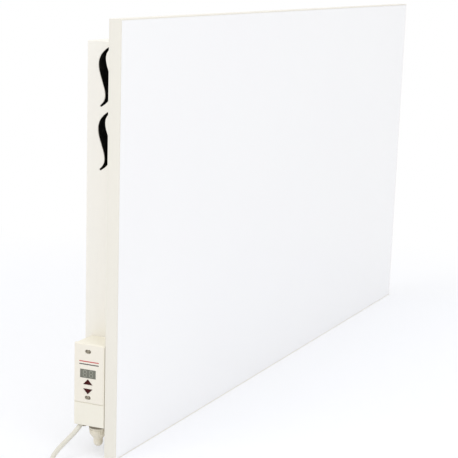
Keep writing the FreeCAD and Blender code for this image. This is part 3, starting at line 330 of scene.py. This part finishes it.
steatite = bpy.data.materials.new("steatite")
place = add(steatite, "TexCoord", {}).outputs["Object"]
CHALK = 1.2 * MM
chalk = add(steatite, "TexNoise", {"Vector": place, "Scale": 1 / CHALK, "Detail": 4.0}).outputs["Fac"]
bone = add(steatite, "MixRGB", {"Fac": chalk, "Color1": linear("#dcd8cb"), "Color2": linear("#ece9df")})
tooth = add(steatite, "Bump", {"Height": chalk, "Strength": 0.3, "Distance": 0.1 * MM}).outputs["Normal"]
add(steatite, "BsdfPrincipled", {"Base Color": bone.outputs["Color"], "Roughness": 0.7, "Normal": tooth})
dress(steatite, "terminal_block", "thermal_cutout")

# Control box: a tray and two covers that seat on it, injection-moulded in cream ABS, with the fine spark
# texture of the mould. The connector block of the lower chamber is the same plastic.

abs_cream = bpy.data.materials.new("cream_abs")
place = add(abs_cream, "TexCoord", {}).outputs["Object"]
SPARK = 0.7 * MM
spark = add(abs_cream, "TexNoise", {"Vector": place, "Scale": 1 / SPARK, "Detail": 3.0}).outputs["Fac"]
grain = add(abs_cream, "Bump", {"Height": spark, "Strength": 0.15, "Distance": 0.04 * MM}).outputs["Normal"]
AGEING = 40 * MM
ageing = add(abs_cream, "TexNoise", {"Vector": place, "Scale": 1 / AGEING, "Detail": 2.0}).outputs["Fac"]
ivory = add(abs_cream, "MixRGB", {"Fac": ageing, "Color1": linear("#f2eddd"), "Color2": linear("#f4f0e3")})
add(abs_cream, "BsdfPrincipled", {"Base Color": ivory.outputs["Color"], "Roughness": 0.46, "IOR": 1.53,
                                  "Normal": grain})
dress(abs_cream, "control_base", "control_cover", "terminal_cover", "supply_terminals")

# Face film: a printed polyester sheet with a fine matt tooth, stuck to the upper cover and plain but for
# two accent lines

film = bpy.data.materials.new("printed_polyester")
film_low, film_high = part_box("face_overlay")
place = add(film, "TexCoord", {}).outputs["Object"]
MATT = 0.5 * MM
matt = add(film, "TexNoise", {"Vector": place, "Scale": 1 / MATT, "Detail": 2.0}).outputs["Fac"]
tooth = add(film, "Bump", {"Height": matt, "Strength": 0.1, "Distance": 0.02 * MM}).outputs["Normal"]
axes = add(film, "SeparateXYZ", {"Vector": place}).outputs
LINE_REACH = 11.5 * MM
LINE_HALF = 0.55 * MM
RED_LINE_DROP = 17.5 * MM
DARK_LINE_DROP = 20.5 * MM
middle_y = (film_low.y + film_high.y) / 2
reach = add(film, "Math", {0: axes["Y"], 1: middle_y, 2: LINE_REACH}, operation="COMPARE").outputs[0]
ground = linear("#f2ecde")
for drop, ink in ((RED_LINE_DROP, "#c8353c"), (DARK_LINE_DROP, "#3a3734")):
    row = add(film, "Math", {0: axes["Z"], 1: film_high.z - drop, 2: LINE_HALF},
              operation="COMPARE").outputs[0]
    mask = add(film, "Math", {0: row, 1: reach}, operation="MULTIPLY").outputs[0]
    ground = add(film, "MixRGB", {"Fac": mask, "Color1": ground, "Color2": linear(ink)}).outputs["Color"]
add(film, "BsdfPrincipled", {"Base Color": ground, "Roughness": 0.38, "IOR": 1.57, "Normal": tooth})
dress(film, "face_overlay")

# Display: a moulded lens of smoked acrylic, slightly hazy, over a two-digit module. The unlit segments
# show as paler bars.

smoke = bpy.data.materials.new("smoked_acrylic")
place = add(smoke, "TexCoord", {}).outputs["Object"]
HAZE = 3 * MM
haze = add(smoke, "TexNoise", {"Vector": place, "Scale": 1 / HAZE, "Detail": 2.0}).outputs["Fac"]
grey = add(smoke, "MixRGB", {"Fac": haze, "Color1": linear("#6f7064"), "Color2": linear("#7b7b6f")})
add(smoke, "BsdfPrincipled", {"Base Color": grey.outputs["Color"], "Roughness": 0.22, "IOR": 1.49})
dress(smoke, "display_lens")

segment_ink = bpy.data.materials.new("unlit_segments")
place = add(segment_ink, "TexCoord", {}).outputs["Object"]
glow = add(segment_ink, "TexNoise", {"Vector": place, "Scale": 1 / HAZE, "Detail": 2.0}).outputs["Fac"]
bars = add(segment_ink, "MixRGB", {"Fac": glow, "Color1": linear("#8f9082"), "Color2": linear("#999a8c")})
add(segment_ink, "BsdfPrincipled", {"Base Color": bars.outputs["Color"], "Roughness": 0.3})
lens_low, lens_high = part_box("display_lens")
BAR_LENGTH = 2.8 * MM
BAR_WIDTH = 0.8 * MM
BAR_RAISE = 0.05 * MM
DIGIT_PITCH = 7.4 * MM
lens_middle = (lens_low + lens_high) / 2
step = BAR_LENGTH + BAR_WIDTH
digits = bmesh.new()
for side in (-1, 1):
    for across, up, upright in ((0, -1, False), (0, 0, False), (0, 1, False), (-0.5, -0.5, True),
                                (0.5, -0.5, True), (-0.5, 0.5, True), (0.5, 0.5, True)):
        spot = Vector((lens_low.x - BAR_RAISE / 2, lens_middle.y + side * DIGIT_PITCH / 2 + across * step,
                       lens_middle.z + up * step))
        bar = bmesh.ops.create_cube(digits, size=1)["verts"]
        span = (BAR_RAISE, BAR_WIDTH, BAR_LENGTH) if upright else (BAR_RAISE, BAR_LENGTH, BAR_WIDTH)
        bmesh.ops.scale(digits, vec=span, verts=bar)
        bmesh.ops.translate(digits, vec=spot, verts=bar)
piece("display_digits", digits, segment_ink)

# Keys: triangles of dull maroon silicone rubber with softened edges, each on a lip and a stem that reach
# back to its switch

maroon = bpy.data.materials.new("maroon_key_rubber")
place = add(maroon, "TexCoord", {}).outputs["Object"]
SATIN = 0.6 * MM
satin = add(maroon, "TexNoise", {"Vector": place, "Scale": 1 / SATIN, "Detail": 2.0}).outputs["Fac"]
wine = add(maroon, "MixRGB", {"Fac": satin, "Color1": linear("#3c0908"), "Color2": linear("#470f0c")})
worn = add(maroon, "Bump", {"Height": satin, "Strength": 0.1, "Distance": 0.03 * MM}).outputs["Normal"]
add(maroon, "BsdfPrincipled", {"Base Color": wine.outputs["Color"], "Roughness": 0.6, "IOR": 1.41,
                               "Specular IOR Level": 0.25, "Normal": worn})
KEY_BASE = 10.2 * MM
KEY_SKIRT = 0.54 * MM
KEY_DEPTH = 2.95 * MM
KEY_LIP = 1 * MM
KEY_ROUND = 0.45 * MM
LIP_HEIGHT = 5.4 * MM
STEM = 1.4 * MM
for name, way in (("up", 1), ("down", -1)):
    low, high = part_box(name + "_button")
    middle_y = (low.y + high.y) / 2
    foot, apex = (low.z, high.z) if way > 0 else (high.z, low.z)
    key = bmesh.new()
    cap_foot = foot + way * KEY_SKIRT
    corners = [key.verts.new((low.x, middle_y + side * KEY_BASE / 2, cap_foot)) for side in (-1, 1)]
    cap = key.faces.new(corners + [key.verts.new((low.x, middle_y, apex))])
    shaft = bmesh.ops.extrude_face_region(key, geom=[cap])
    moved = [v for v in shaft["geom"] if isinstance(v, bmesh.types.BMVert)]
    bmesh.ops.translate(key, vec=(KEY_DEPTH, 0, 0), verts=moved)
    bmesh.ops.recalc_face_normals(key, faces=key.faces)
    rim = [e for e in key.edges if all(v.co.x < low.x + TOUCH for v in e.verts)]
    round_off(key, rim, KEY_ROUND)
    key_lip = bmesh.ops.create_cube(key, size=1)["verts"]
    bmesh.ops.scale(key, vec=(KEY_LIP, KEY_BASE + 2 * KEY_LIP, LIP_HEIGHT), verts=key_lip)
    lip_spot = (low.x + KEY_DEPTH + KEY_LIP / 2, middle_y, foot + way * LIP_HEIGHT / 2)
    bmesh.ops.translate(key, vec=lip_spot, verts=key_lip)
    reach = high.x - low.x - KEY_DEPTH
    stem = bmesh.ops.create_cone(key, cap_ends=True, segments=24, radius1=STEM, radius2=STEM,
                                 depth=reach)["verts"]
    bmesh.ops.rotate(key, matrix=Matrix.Rotation(math.pi / 2, 3, "Y"), verts=stem)
    bmesh.ops.translate(key, vec=(high.x - reach / 2, lip_spot[1], lip_spot[2]), verts=stem)
    piece(name + "_key", key, maroon, [name + "_button"], body=name + "_key")

# Parts behind the face: black moulded relay, switches and module, a green board and a red capacitor. The
# bushing and the screw wells' seals are taupe rubber, dark as painted shade: it stands in for the shadow
# at the cord's exit and in the wells round the cover screws.

for name, deep, light, rough, nodes in (
        ("black_pbt", "#141415", "#1d1d1f", 0.45,
         ["display_module", "tact_switches", "relay", "lead_grommet"]),
        ("taupe_rubber_painted_shade", "#857d6e", "#938b7c", 0.6, ["cord_bushing", "well_seals"]),
        ("green_solder_mask", "#0f4a2a", "#175c36", 0.35, ["control_board"]),
        ("red_epoxy", "#7d1a14", "#8f241c", 0.25, ["film_capacitor"])):
    mould = bpy.data.materials.new(name)
    place = add(mould, "TexCoord", {}).outputs["Object"]
    mottle = add(mould, "TexNoise", {"Vector": place, "Scale": 1 / SATIN, "Detail": 3.0}).outputs["Fac"]
    tint = add(mould, "MixRGB", {"Fac": mottle, "Color1": linear(deep), "Color2": linear(light)})
    nap = add(mould, "Bump", {"Height": mottle, "Strength": 0.15, "Distance": 0.04 * MM}).outputs["Normal"]
    add(mould, "BsdfPrincipled", {"Base Color": tint.outputs["Color"], "Roughness": rough, "Normal": nap})
    dress(mould, *nodes)

# Cover screws: dull passivated steel with pan heads and a cross recess, sunk in the oval wells of the face.
# They hold the covers to the tray.

passivated = bpy.data.materials.new("passivated_steel")
place = add(passivated, "TexCoord", {}).outputs["Object"]
rub = add(passivated, "TexNoise", {"Vector": place, "Scale": 1 / SATIN, "Detail": 3.0}).outputs["Fac"]
oxide = add(passivated, "MixRGB", {"Fac": rub, "Color1": linear("#a29b8b"), "Color2": linear("#b8b1a1")})
add(passivated, "BsdfPrincipled", {"Base Color": oxide.outputs["Color"], "Metallic": 1.0,
                                   "Roughness": 0.42})
COVER_HEAD_RADIUS = 1.65 * MM
COVER_HEAD = 1.2 * MM
COVER_SHANK = 1 * MM
fastener_low, fastener_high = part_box("cover_screws")
face_y = (fastener_low.y + fastener_high.y) / 2
cover_fasteners = bmesh.new()
for up in (fastener_low.z + COVER_HEAD_RADIUS, fastener_high.z - COVER_HEAD_RADIUS):
    seat = (fastener_low.x + COVER_HEAD, face_y, up)
    cross_screw(cover_fasteners, seat, (-1, 0, 0), COVER_HEAD_RADIUS, COVER_HEAD, COVER_SHANK,
                fastener_high.x - seat[0])
piece("cover_fasteners", cover_fasteners, passivated, ["cover_screws"])

# Gland: moulded in beige nylon and screwed into the box's bottom, with a ribbed nut that tapers to its
# end. Nylon has a slightly waxy sheen.

nylon = bpy.data.materials.new("beige_nylon")
place = add(nylon, "TexCoord", {}).outputs["Object"]
WAX = 5 * MM
wax = add(nylon, "TexNoise", {"Vector": place, "Scale": 1 / WAX, "Detail": 3.0}).outputs["Fac"]
beige = add(nylon, "MixRGB", {"Fac": wax, "Color1": linear("#eae2cd"), "Color2": linear("#f1eada")})
add(nylon, "BsdfPrincipled", {"Base Color": beige.outputs["Color"], "Roughness": 0.42, "IOR": 1.53})
dress(nylon, "gland_body", "gland_locknut")

nut_low, nut_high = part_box("gland_nut")
axis = Vector(((nut_low.x + nut_high.x) / 2, (nut_low.y + nut_high.y) / 2, 0))
NUT_RADIUS = 9.3 * MM
NUT_END = 5.3 * MM
NUT_LIP = 2.2 * MM
NUT_BORE = 5 * MM
NUT_SOCKET = 6.1 * MM
COLLAR = 4 * MM
SHOULDER_ROUND = 1.2 * MM
nut_height = nut_high.z - nut_low.z
RIBS = 24
STEPS_PER_RIB = 4
RIB_CUT = 0.3 * MM
GROOVE_SHARE = 0.5
UPRIGHT = 0.1
nut = bmesh.new()
half_way = nut_low.z + nut_height / 2
outline = [nut.verts.new((radius, 0, up)) for radius, up in (
    (NUT_BORE, nut_low.z - NUT_LIP), (NUT_END, nut_low.z - NUT_LIP), (NUT_RADIUS, nut_high.z - COLLAR),
    (NUT_RADIUS, nut_high.z), (NUT_SOCKET, nut_high.z), (NUT_SOCKET, half_way), (NUT_BORE, half_way))]
profile = [nut.edges.new((a, b)) for a, b in zip(outline, outline[1:] + outline[:1])]
bmesh.ops.spin(nut, geom=outline + profile, cent=(0, 0, 0), axis=(0, 0, 1), angle=math.tau,
               steps=RIBS * STEPS_PER_RIB, use_merge=True)
bmesh.ops.recalc_face_normals(nut, faces=nut.faces)
collar_faces = [f for f in nut.faces if abs(f.normal.z) < UPRIGHT
                and f.calc_center_median().xy.length > NUT_SOCKET + MM]
grooves = []
for face in collar_faces:
    middle = face.calc_center_median()
    share = math.atan2(middle.y, middle.x) / math.tau * RIBS % 1
    if share < GROOVE_SHARE:
        grooves += [v for v in face.verts if v not in grooves]
for corner in grooves:
    corner.co.xy *= 1 - RIB_CUT / NUT_RADIUS
shoulder = [e for e in nut.edges if all(abs(v.co.z - nut_high.z + COLLAR) < TOUCH for v in e.verts)]
round_off(nut, shoulder, SHOULDER_ROUND)
bmesh.ops.translate(nut, vec=axis, verts=nut.verts)
piece("gland_grip", nut, nylon, ["gland_nut"])

# Gland seal: a cup moulded in dark, dusty rubber, squeezed between the box's bottom and the gland's
# hexagon. Its dark colour is painted shade, standing in for the shadow line where the gland meets the box.

rubber = bpy.data.materials.new("seal_rubber_painted_shade")
place = add(rubber, "TexCoord", {}).outputs["Object"]
dust = add(rubber, "TexNoise", {"Vector": place, "Scale": 1 / SATIN, "Detail": 3.0}).outputs["Fac"]
umber = add(rubber, "MixRGB", {"Fac": dust, "Color1": linear("#7a705f"), "Color2": linear("#887e6c")})
add(rubber, "BsdfPrincipled", {"Base Color": umber.outputs["Color"], "Roughness": 0.7, "IOR": 1.52})
SEAL_RADIUS = 10 * MM
SEAL = 4.4 * MM
SEAL_ROUND = 0.55 * MM
SHARP = math.radians(60)
seal_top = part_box("gland_washer")[1].z
seal = bmesh.new()
bmesh.ops.create_cone(seal, cap_ends=True, segments=48, radius1=SEAL_RADIUS, radius2=SEAL_RADIUS,
                      depth=SEAL)
round_off(seal, [e for e in seal.edges if e.calc_face_angle() > SHARP], SEAL_ROUND)
bmesh.ops.translate(seal, vec=axis + Vector((0, 0, seal_top - SEAL / 2)), verts=seal.verts)
piece("gland_seal", seal, rubber, ["gland_washer"])

# Gland plug: a round, domed stopper of the same nylon, pushed into the nut's bore in place of a cord, so
# that the gland is closed

stopper_low, stopper_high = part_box("gland_plug")
DOME = 4.9 * MM
dome = bmesh.new()
bmesh.ops.create_uvsphere(dome, u_segments=48, v_segments=24, radius=DOME)
upper_half = [v for v in dome.verts if v.co.z > TOUCH]
bmesh.ops.translate(dome, vec=(0, 0, stopper_high.z - stopper_low.z - 2 * DOME), verts=upper_half)
bmesh.ops.translate(dome, vec=axis + Vector((0, 0, stopper_low.z + DOME)), verts=dome.verts)
piece("gland_dome", dome, nylon, ["gland_plug"])

# Mains cord: three cores in a round off-white PVC sheath. It drops out of the box to the floor, and the
# rest is coiled flat under a tie with the plug beside it.

pvc = bpy.data.materials.new("off_white_pvc")
place = add(pvc, "TexCoord", {}).outputs["Object"]
SHEATH = 9 * MM
smear = add(pvc, "TexNoise", {"Vector": place, "Scale": 1 / SHEATH, "Detail": 3.0}).outputs["Fac"]
chalky = add(pvc, "MixRGB", {"Fac": smear, "Color1": linear("#d9d6ca"), "Color2": linear("#e2dfd4")})
add(pvc, "BsdfPrincipled", {"Base Color": chalky.outputs["Color"], "Roughness": 0.45, "IOR": 1.53})
dress(pvc, "link_cable")

CORD = 5.2 * MM
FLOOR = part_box("frame_rail_bottom")[0].z
exit_low, exit_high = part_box("cord_bushing")
exit_point = Vector(((exit_low.x + exit_high.x) / 2, (exit_low.y + exit_high.y) / 2,
                     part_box("control_base")[0].z))
COIL_X = -609 * MM
COIL_Y = -85 * MM
COIL_RADIUS = 41 * MM
HALF_TURNS = 7
TURN_GAP = 0.6 * MM
PITCH = CORD + TURN_GAP
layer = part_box("cord_coil")[0].z + CORD / 2

# The route's points: inside the box, just below it, two on the way down, and the way into the coil
INSIDE = Vector((0, 0, 6 * MM))
BELOW = Vector((0, 0, -2.5 * MM))
LANDING = Vector((-490 * MM, 0, FLOOR + 5.4 * MM))
BEND = Vector((-518 * MM, -25 * MM, FLOOR + 4 * MM))
COIL_START_X = -563 * MM
route = [exit_point + INSIDE, exit_point + BELOW, LANDING, BEND, Vector((COIL_START_X, COIL_Y, layer)),
         Vector((COIL_X + CORD, COIL_Y, layer))]
radii = [COIL_RADIUS - i * PITCH / 2 for i in range(HALF_TURNS + 1)]
radii += radii[-2:0:-1]
STEPS = 12
swell = 1 / math.cos(math.pi / STEPS / 2)
here = Vector((COIL_X, COIL_Y, layer))
for turn, radius in enumerate(radii):
    way = 1 if turn % 2 == 0 else -1
    climb = PITCH if turn == HALF_TURNS else 0
    centre = here + Vector((0, way * radius, 0))
    for step in range(STEPS):
        share = (step + 0.5) / STEPS
        angle = share * math.pi
        route.append(centre + Vector((-way * math.sin(angle) * radius * swell,
                                      -way * math.cos(angle) * radius * swell, climb * share)))
    here += Vector((0, 2 * way * radius, climb))
tail_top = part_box("cord_tail")[1].z
TAIL_RUN = 22 * MM
TAIL_SHIFT = 10.6 * MM
plug_rise = tail_top - CORD / 2 - here.z
start = here - Vector((CORD, 0, 0))
route += [start, start + Vector((-TAIL_RUN, 0, 0)),
          start + Vector((-2 * TAIL_RUN, TAIL_SHIFT, plug_rise)),
          start + Vector((-3 * TAIL_RUN, TAIL_SHIFT, plug_rise))]

curve = bpy.data.curves.new("mains_cord", "CURVE")
curve.dimensions = "3D"
spline = curve.splines.new("NURBS")
spline.points.add(len(route) - 1)
for point, spot in zip(spline.points, route):
    point.co = (*spot, 1)
spline.order_u = 3
spline.use_endpoint_u = True
spline.resolution_u = 4
curve.bevel_depth = CORD / 2
curve.bevel_resolution = 4
curve.use_fill_caps = True
curve.materials.append(pvc)
cord = bpy.data.objects.new("mains_cord", curve)
bpy.context.scene.collection.objects.link(cord)
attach(cord, "heater")
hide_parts("cord_lead", "cord_coil", "cord_tail")

# Coil tie: a black strap woven with hooks and loops, wrapped once round the coil's turns, with soft
# corners

strap = bpy.data.materials.new("black_webbing")
place = add(strap, "TexCoord", {}).outputs["Object"]
THREAD = 0.7 * MM
weave = add(strap, "TexWave", {"Vector": place, "Scale": 0.3 / THREAD, "Distortion": 1.0}).outputs["Fac"]
cloth = add(strap, "MixRGB", {"Fac": weave, "Color1": linear("#151515"), "Color2": linear("#2a2a2b")})
ribs = add(strap, "Bump", {"Height": weave, "Strength": 0.5, "Distance": 0.2 * MM}).outputs["Normal"]
add(strap, "BsdfPrincipled", {"Base Color": cloth.outputs["Color"], "Roughness": 0.85, "Normal": ribs})
tie_low, tie_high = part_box("coil_tie")
TIE_SHEET = 1 * MM
TIE_CORNER = 2.4 * MM
band = block(tie_low, tie_high)
bmesh.ops.delete(band, geom=[f for f in band.faces if abs(f.normal.y) > 0.5], context="FACES_ONLY")
folds = [e for e in band.edges if abs(e.verts[0].co.y - e.verts[1].co.y) > MM]
round_off(band, folds, TIE_CORNER)
bmesh.ops.recalc_face_normals(band, faces=band.faces)
bmesh.ops.solidify(band, geom=band.faces, thickness=TIE_SHEET)
tie = piece("tie_strap", band, strap, ["coil_tie"])

# Plug: an earthed two-pin plug moulded onto the cord in the same PVC, with a ribbed boot, two side
# grooves with earth clips, and plated pins

plug_low, plug_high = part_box("plug_body")
dress(pvc, "plug_body")
BOOT = 22 * MM
BOOT_END = 4.2 * MM
BOOT_NECK = 8 * MM
RING = 1.8 * MM
RING_PROUD = 0.8 * MM
RING_ROUND = 0.4 * MM
RINGS = 5
boot = bmesh.new()
plug_axis = (plug_low + plug_high) / 2
for index in range(RINGS):
    share = (index + 0.5) / RINGS
    radius = BOOT_END + (BOOT_NECK - BOOT_END) * share + RING_PROUD
    ring = bmesh.ops.create_cone(boot, cap_ends=True, segments=48, radius1=radius, radius2=radius,
                                 depth=RING)["verts"]
    bmesh.ops.rotate(boot, matrix=Matrix.Rotation(math.pi / 2, 3, "Y"), verts=ring)
    bmesh.ops.translate(boot, vec=(plug_high.x - BOOT * share, plug_axis.y, plug_axis.z), verts=ring)
round_off(boot, [e for e in boot.edges if e.calc_face_angle() > SHARP], RING_ROUND)
boot_ribs = piece("plug_boot_ribs", boot, pvc)
dress(zinc, "plug_clips")
nickel = bpy.data.materials.new("nickel_plate")
place = add(nickel, "TexCoord", {}).outputs["Object"]
scuff = add(nickel, "TexNoise", {"Vector": place, "Scale": 1 / CLOUD, "Detail": 4.0}).outputs["Fac"]
polish = add(nickel, "MapRange", {"Value": scuff, "To Min": 0.14, "To Max": 0.28}).outputs["Result"]
add(nickel, "BsdfPrincipled", {"Base Color": linear("#cfccc4"), "Metallic": 1.0, "Roughness": polish})
dress(nickel, "plug_pins")

# Floor: a white studio sweep that keeps the soft shadow under the heater. Part of its white is its own,
# for rays that see it, and all of it away from the heater, where the sweep fades into the backdrop.


def in_view(material):
    """A socket that is 1 for rays that show the background: to the camera, off gloss and through glass."""
    rays = add(material, "LightPath", {}).outputs
    seen = add(material, "Math", {0: rays["Is Camera Ray"], 1: rays["Is Glossy Ray"]},
               operation="MAXIMUM").outputs[0]
    return add(material, "Math", {0: seen, 1: rays["Is Transmission Ray"]}, operation="MAXIMUM").outputs[0]


paper = bpy.data.materials.new("white_sweep")
lit = add(paper, "BsdfDiffuse", {"Color": linear("#f7f9ff")}).outputs["BSDF"]
pure = add(paper, "Emission", {"Color": linear("#ffffff"), "Strength": 1.0}).outputs["Emission"]
OWN_WHITE = 0.5
FADE_FROM = 0.58
FADE_TO = 1.0
FLOOR_HALF = 12
place = add(paper, "TexCoord", {}).outputs["Object"]
away = add(paper, "VectorMath", {0: place}, operation="LENGTH").outputs["Value"]
fade = add(paper, "MapRange", {"Value": away, "From Min": FADE_FROM, "From Max": FADE_TO,
                               "To Min": OWN_WHITE}, interpolation_type="SMOOTHSTEP").outputs["Result"]
share = add(paper, "Math", {0: in_view(paper), 1: fade}, operation="MULTIPLY").outputs[0]
blend = add(paper, "MixShader", {"Fac": share, 1: lit, 2: pure}).outputs["Shader"]
add(paper, "OutputMaterial", {"Surface": blend})
sweep = bmesh.new()
bmesh.ops.create_grid(sweep, x_segments=1, y_segments=1, size=FLOOR_HALF)
bmesh.ops.translate(sweep, vec=(0, 0, FLOOR), verts=sweep.verts)
floor_mesh = bpy.data.meshes.new("floor")
sweep.to_mesh(floor_mesh)
sweep.free()
floor_mesh.materials.append(paper)
floor = bpy.data.objects.new("floor", floor_mesh)
bpy.context.scene.collection.objects.link(floor)

# Studio light: a white tent all round, and three large soft lamps: front left, left behind, which
# reaches the casing and the control box, and overhead for the floor

sky = bpy.data.worlds.new("white_studio")
bpy.context.scene.world = sky
TENT = 0.8
power = add(sky, "MapRange", {"Value": in_view(sky), "To Min": TENT, "To Max": 1.0}).outputs["Result"]
add(sky, "Background", {"Color": linear("#ffffff"), "Strength": power})
for name, spot, aim, width, watts in (
        ("front_softbox", (-1.4, -2.2, 1.9), (-0.2, 0, -0.05), 1.8, 13),
        ("side_softbox", (-2.2, 1.0, 2.3), (-0.42, 0, -0.2), 1.6, 13),
        ("top_softbox", (-0.6, -0.2, 5), (-0.6, -0.2, 0), 5, 42)):
    lamp = bpy.data.lights.new(name, "AREA")
    lamp.shape = "DISK"
    lamp.size = width
    lamp.energy = watts
    softbox = bpy.data.objects.new(name, lamp)
    softbox.location = spot
    softbox.rotation_euler = (Vector(aim) - Vector(spot)).to_track_quat("-Z", "Y").to_euler()
    bpy.context.scene.collection.objects.link(softbox)

# Camera: at the photograph's place, turned and tilted as it was, with its axis below the frame's middle.
# Its place and angles are solved from the slab's edges.

AZIMUTH = math.radians(-66.05)
ELEVATION = math.radians(14.3)
ROLL_ANGLE = math.radians(1.89)
FOCAL_PIXELS = 1463.1
FRAME_PIXELS = 458
AXIS_ROW = 328.1
CAMERA_PLACE = (-1.7202, -0.7452, 0.1473)
back = Vector((math.sin(AZIMUTH) * math.cos(ELEVATION), -math.cos(AZIMUTH) * math.cos(ELEVATION),
               math.sin(ELEVATION)))
level_right = Vector((math.cos(AZIMUTH), math.sin(AZIMUTH), 0))
level_up = back.cross(level_right)
right = level_right * math.cos(ROLL_ANGLE) + level_up * math.sin(ROLL_ANGLE)
up = level_up * math.cos(ROLL_ANGLE) - level_right * math.sin(ROLL_ANGLE)
lens = bpy.data.cameras.new("camera")
lens.sensor_width = 36
lens.lens = FOCAL_PIXELS / FRAME_PIXELS * lens.sensor_width
lens.shift_y = (AXIS_ROW - FRAME_PIXELS / 2) / FRAME_PIXELS
camera = bpy.data.objects.new("camera", lens)
camera.matrix_world = Matrix.Translation(CAMERA_PLACE) @ Matrix((right, up, back)).transposed().to_4x4()
bpy.context.scene.collection.objects.link(camera)
bpy.context.scene.camera = camera
bpy.context.scene.view_settings.view_transform = "Standard"
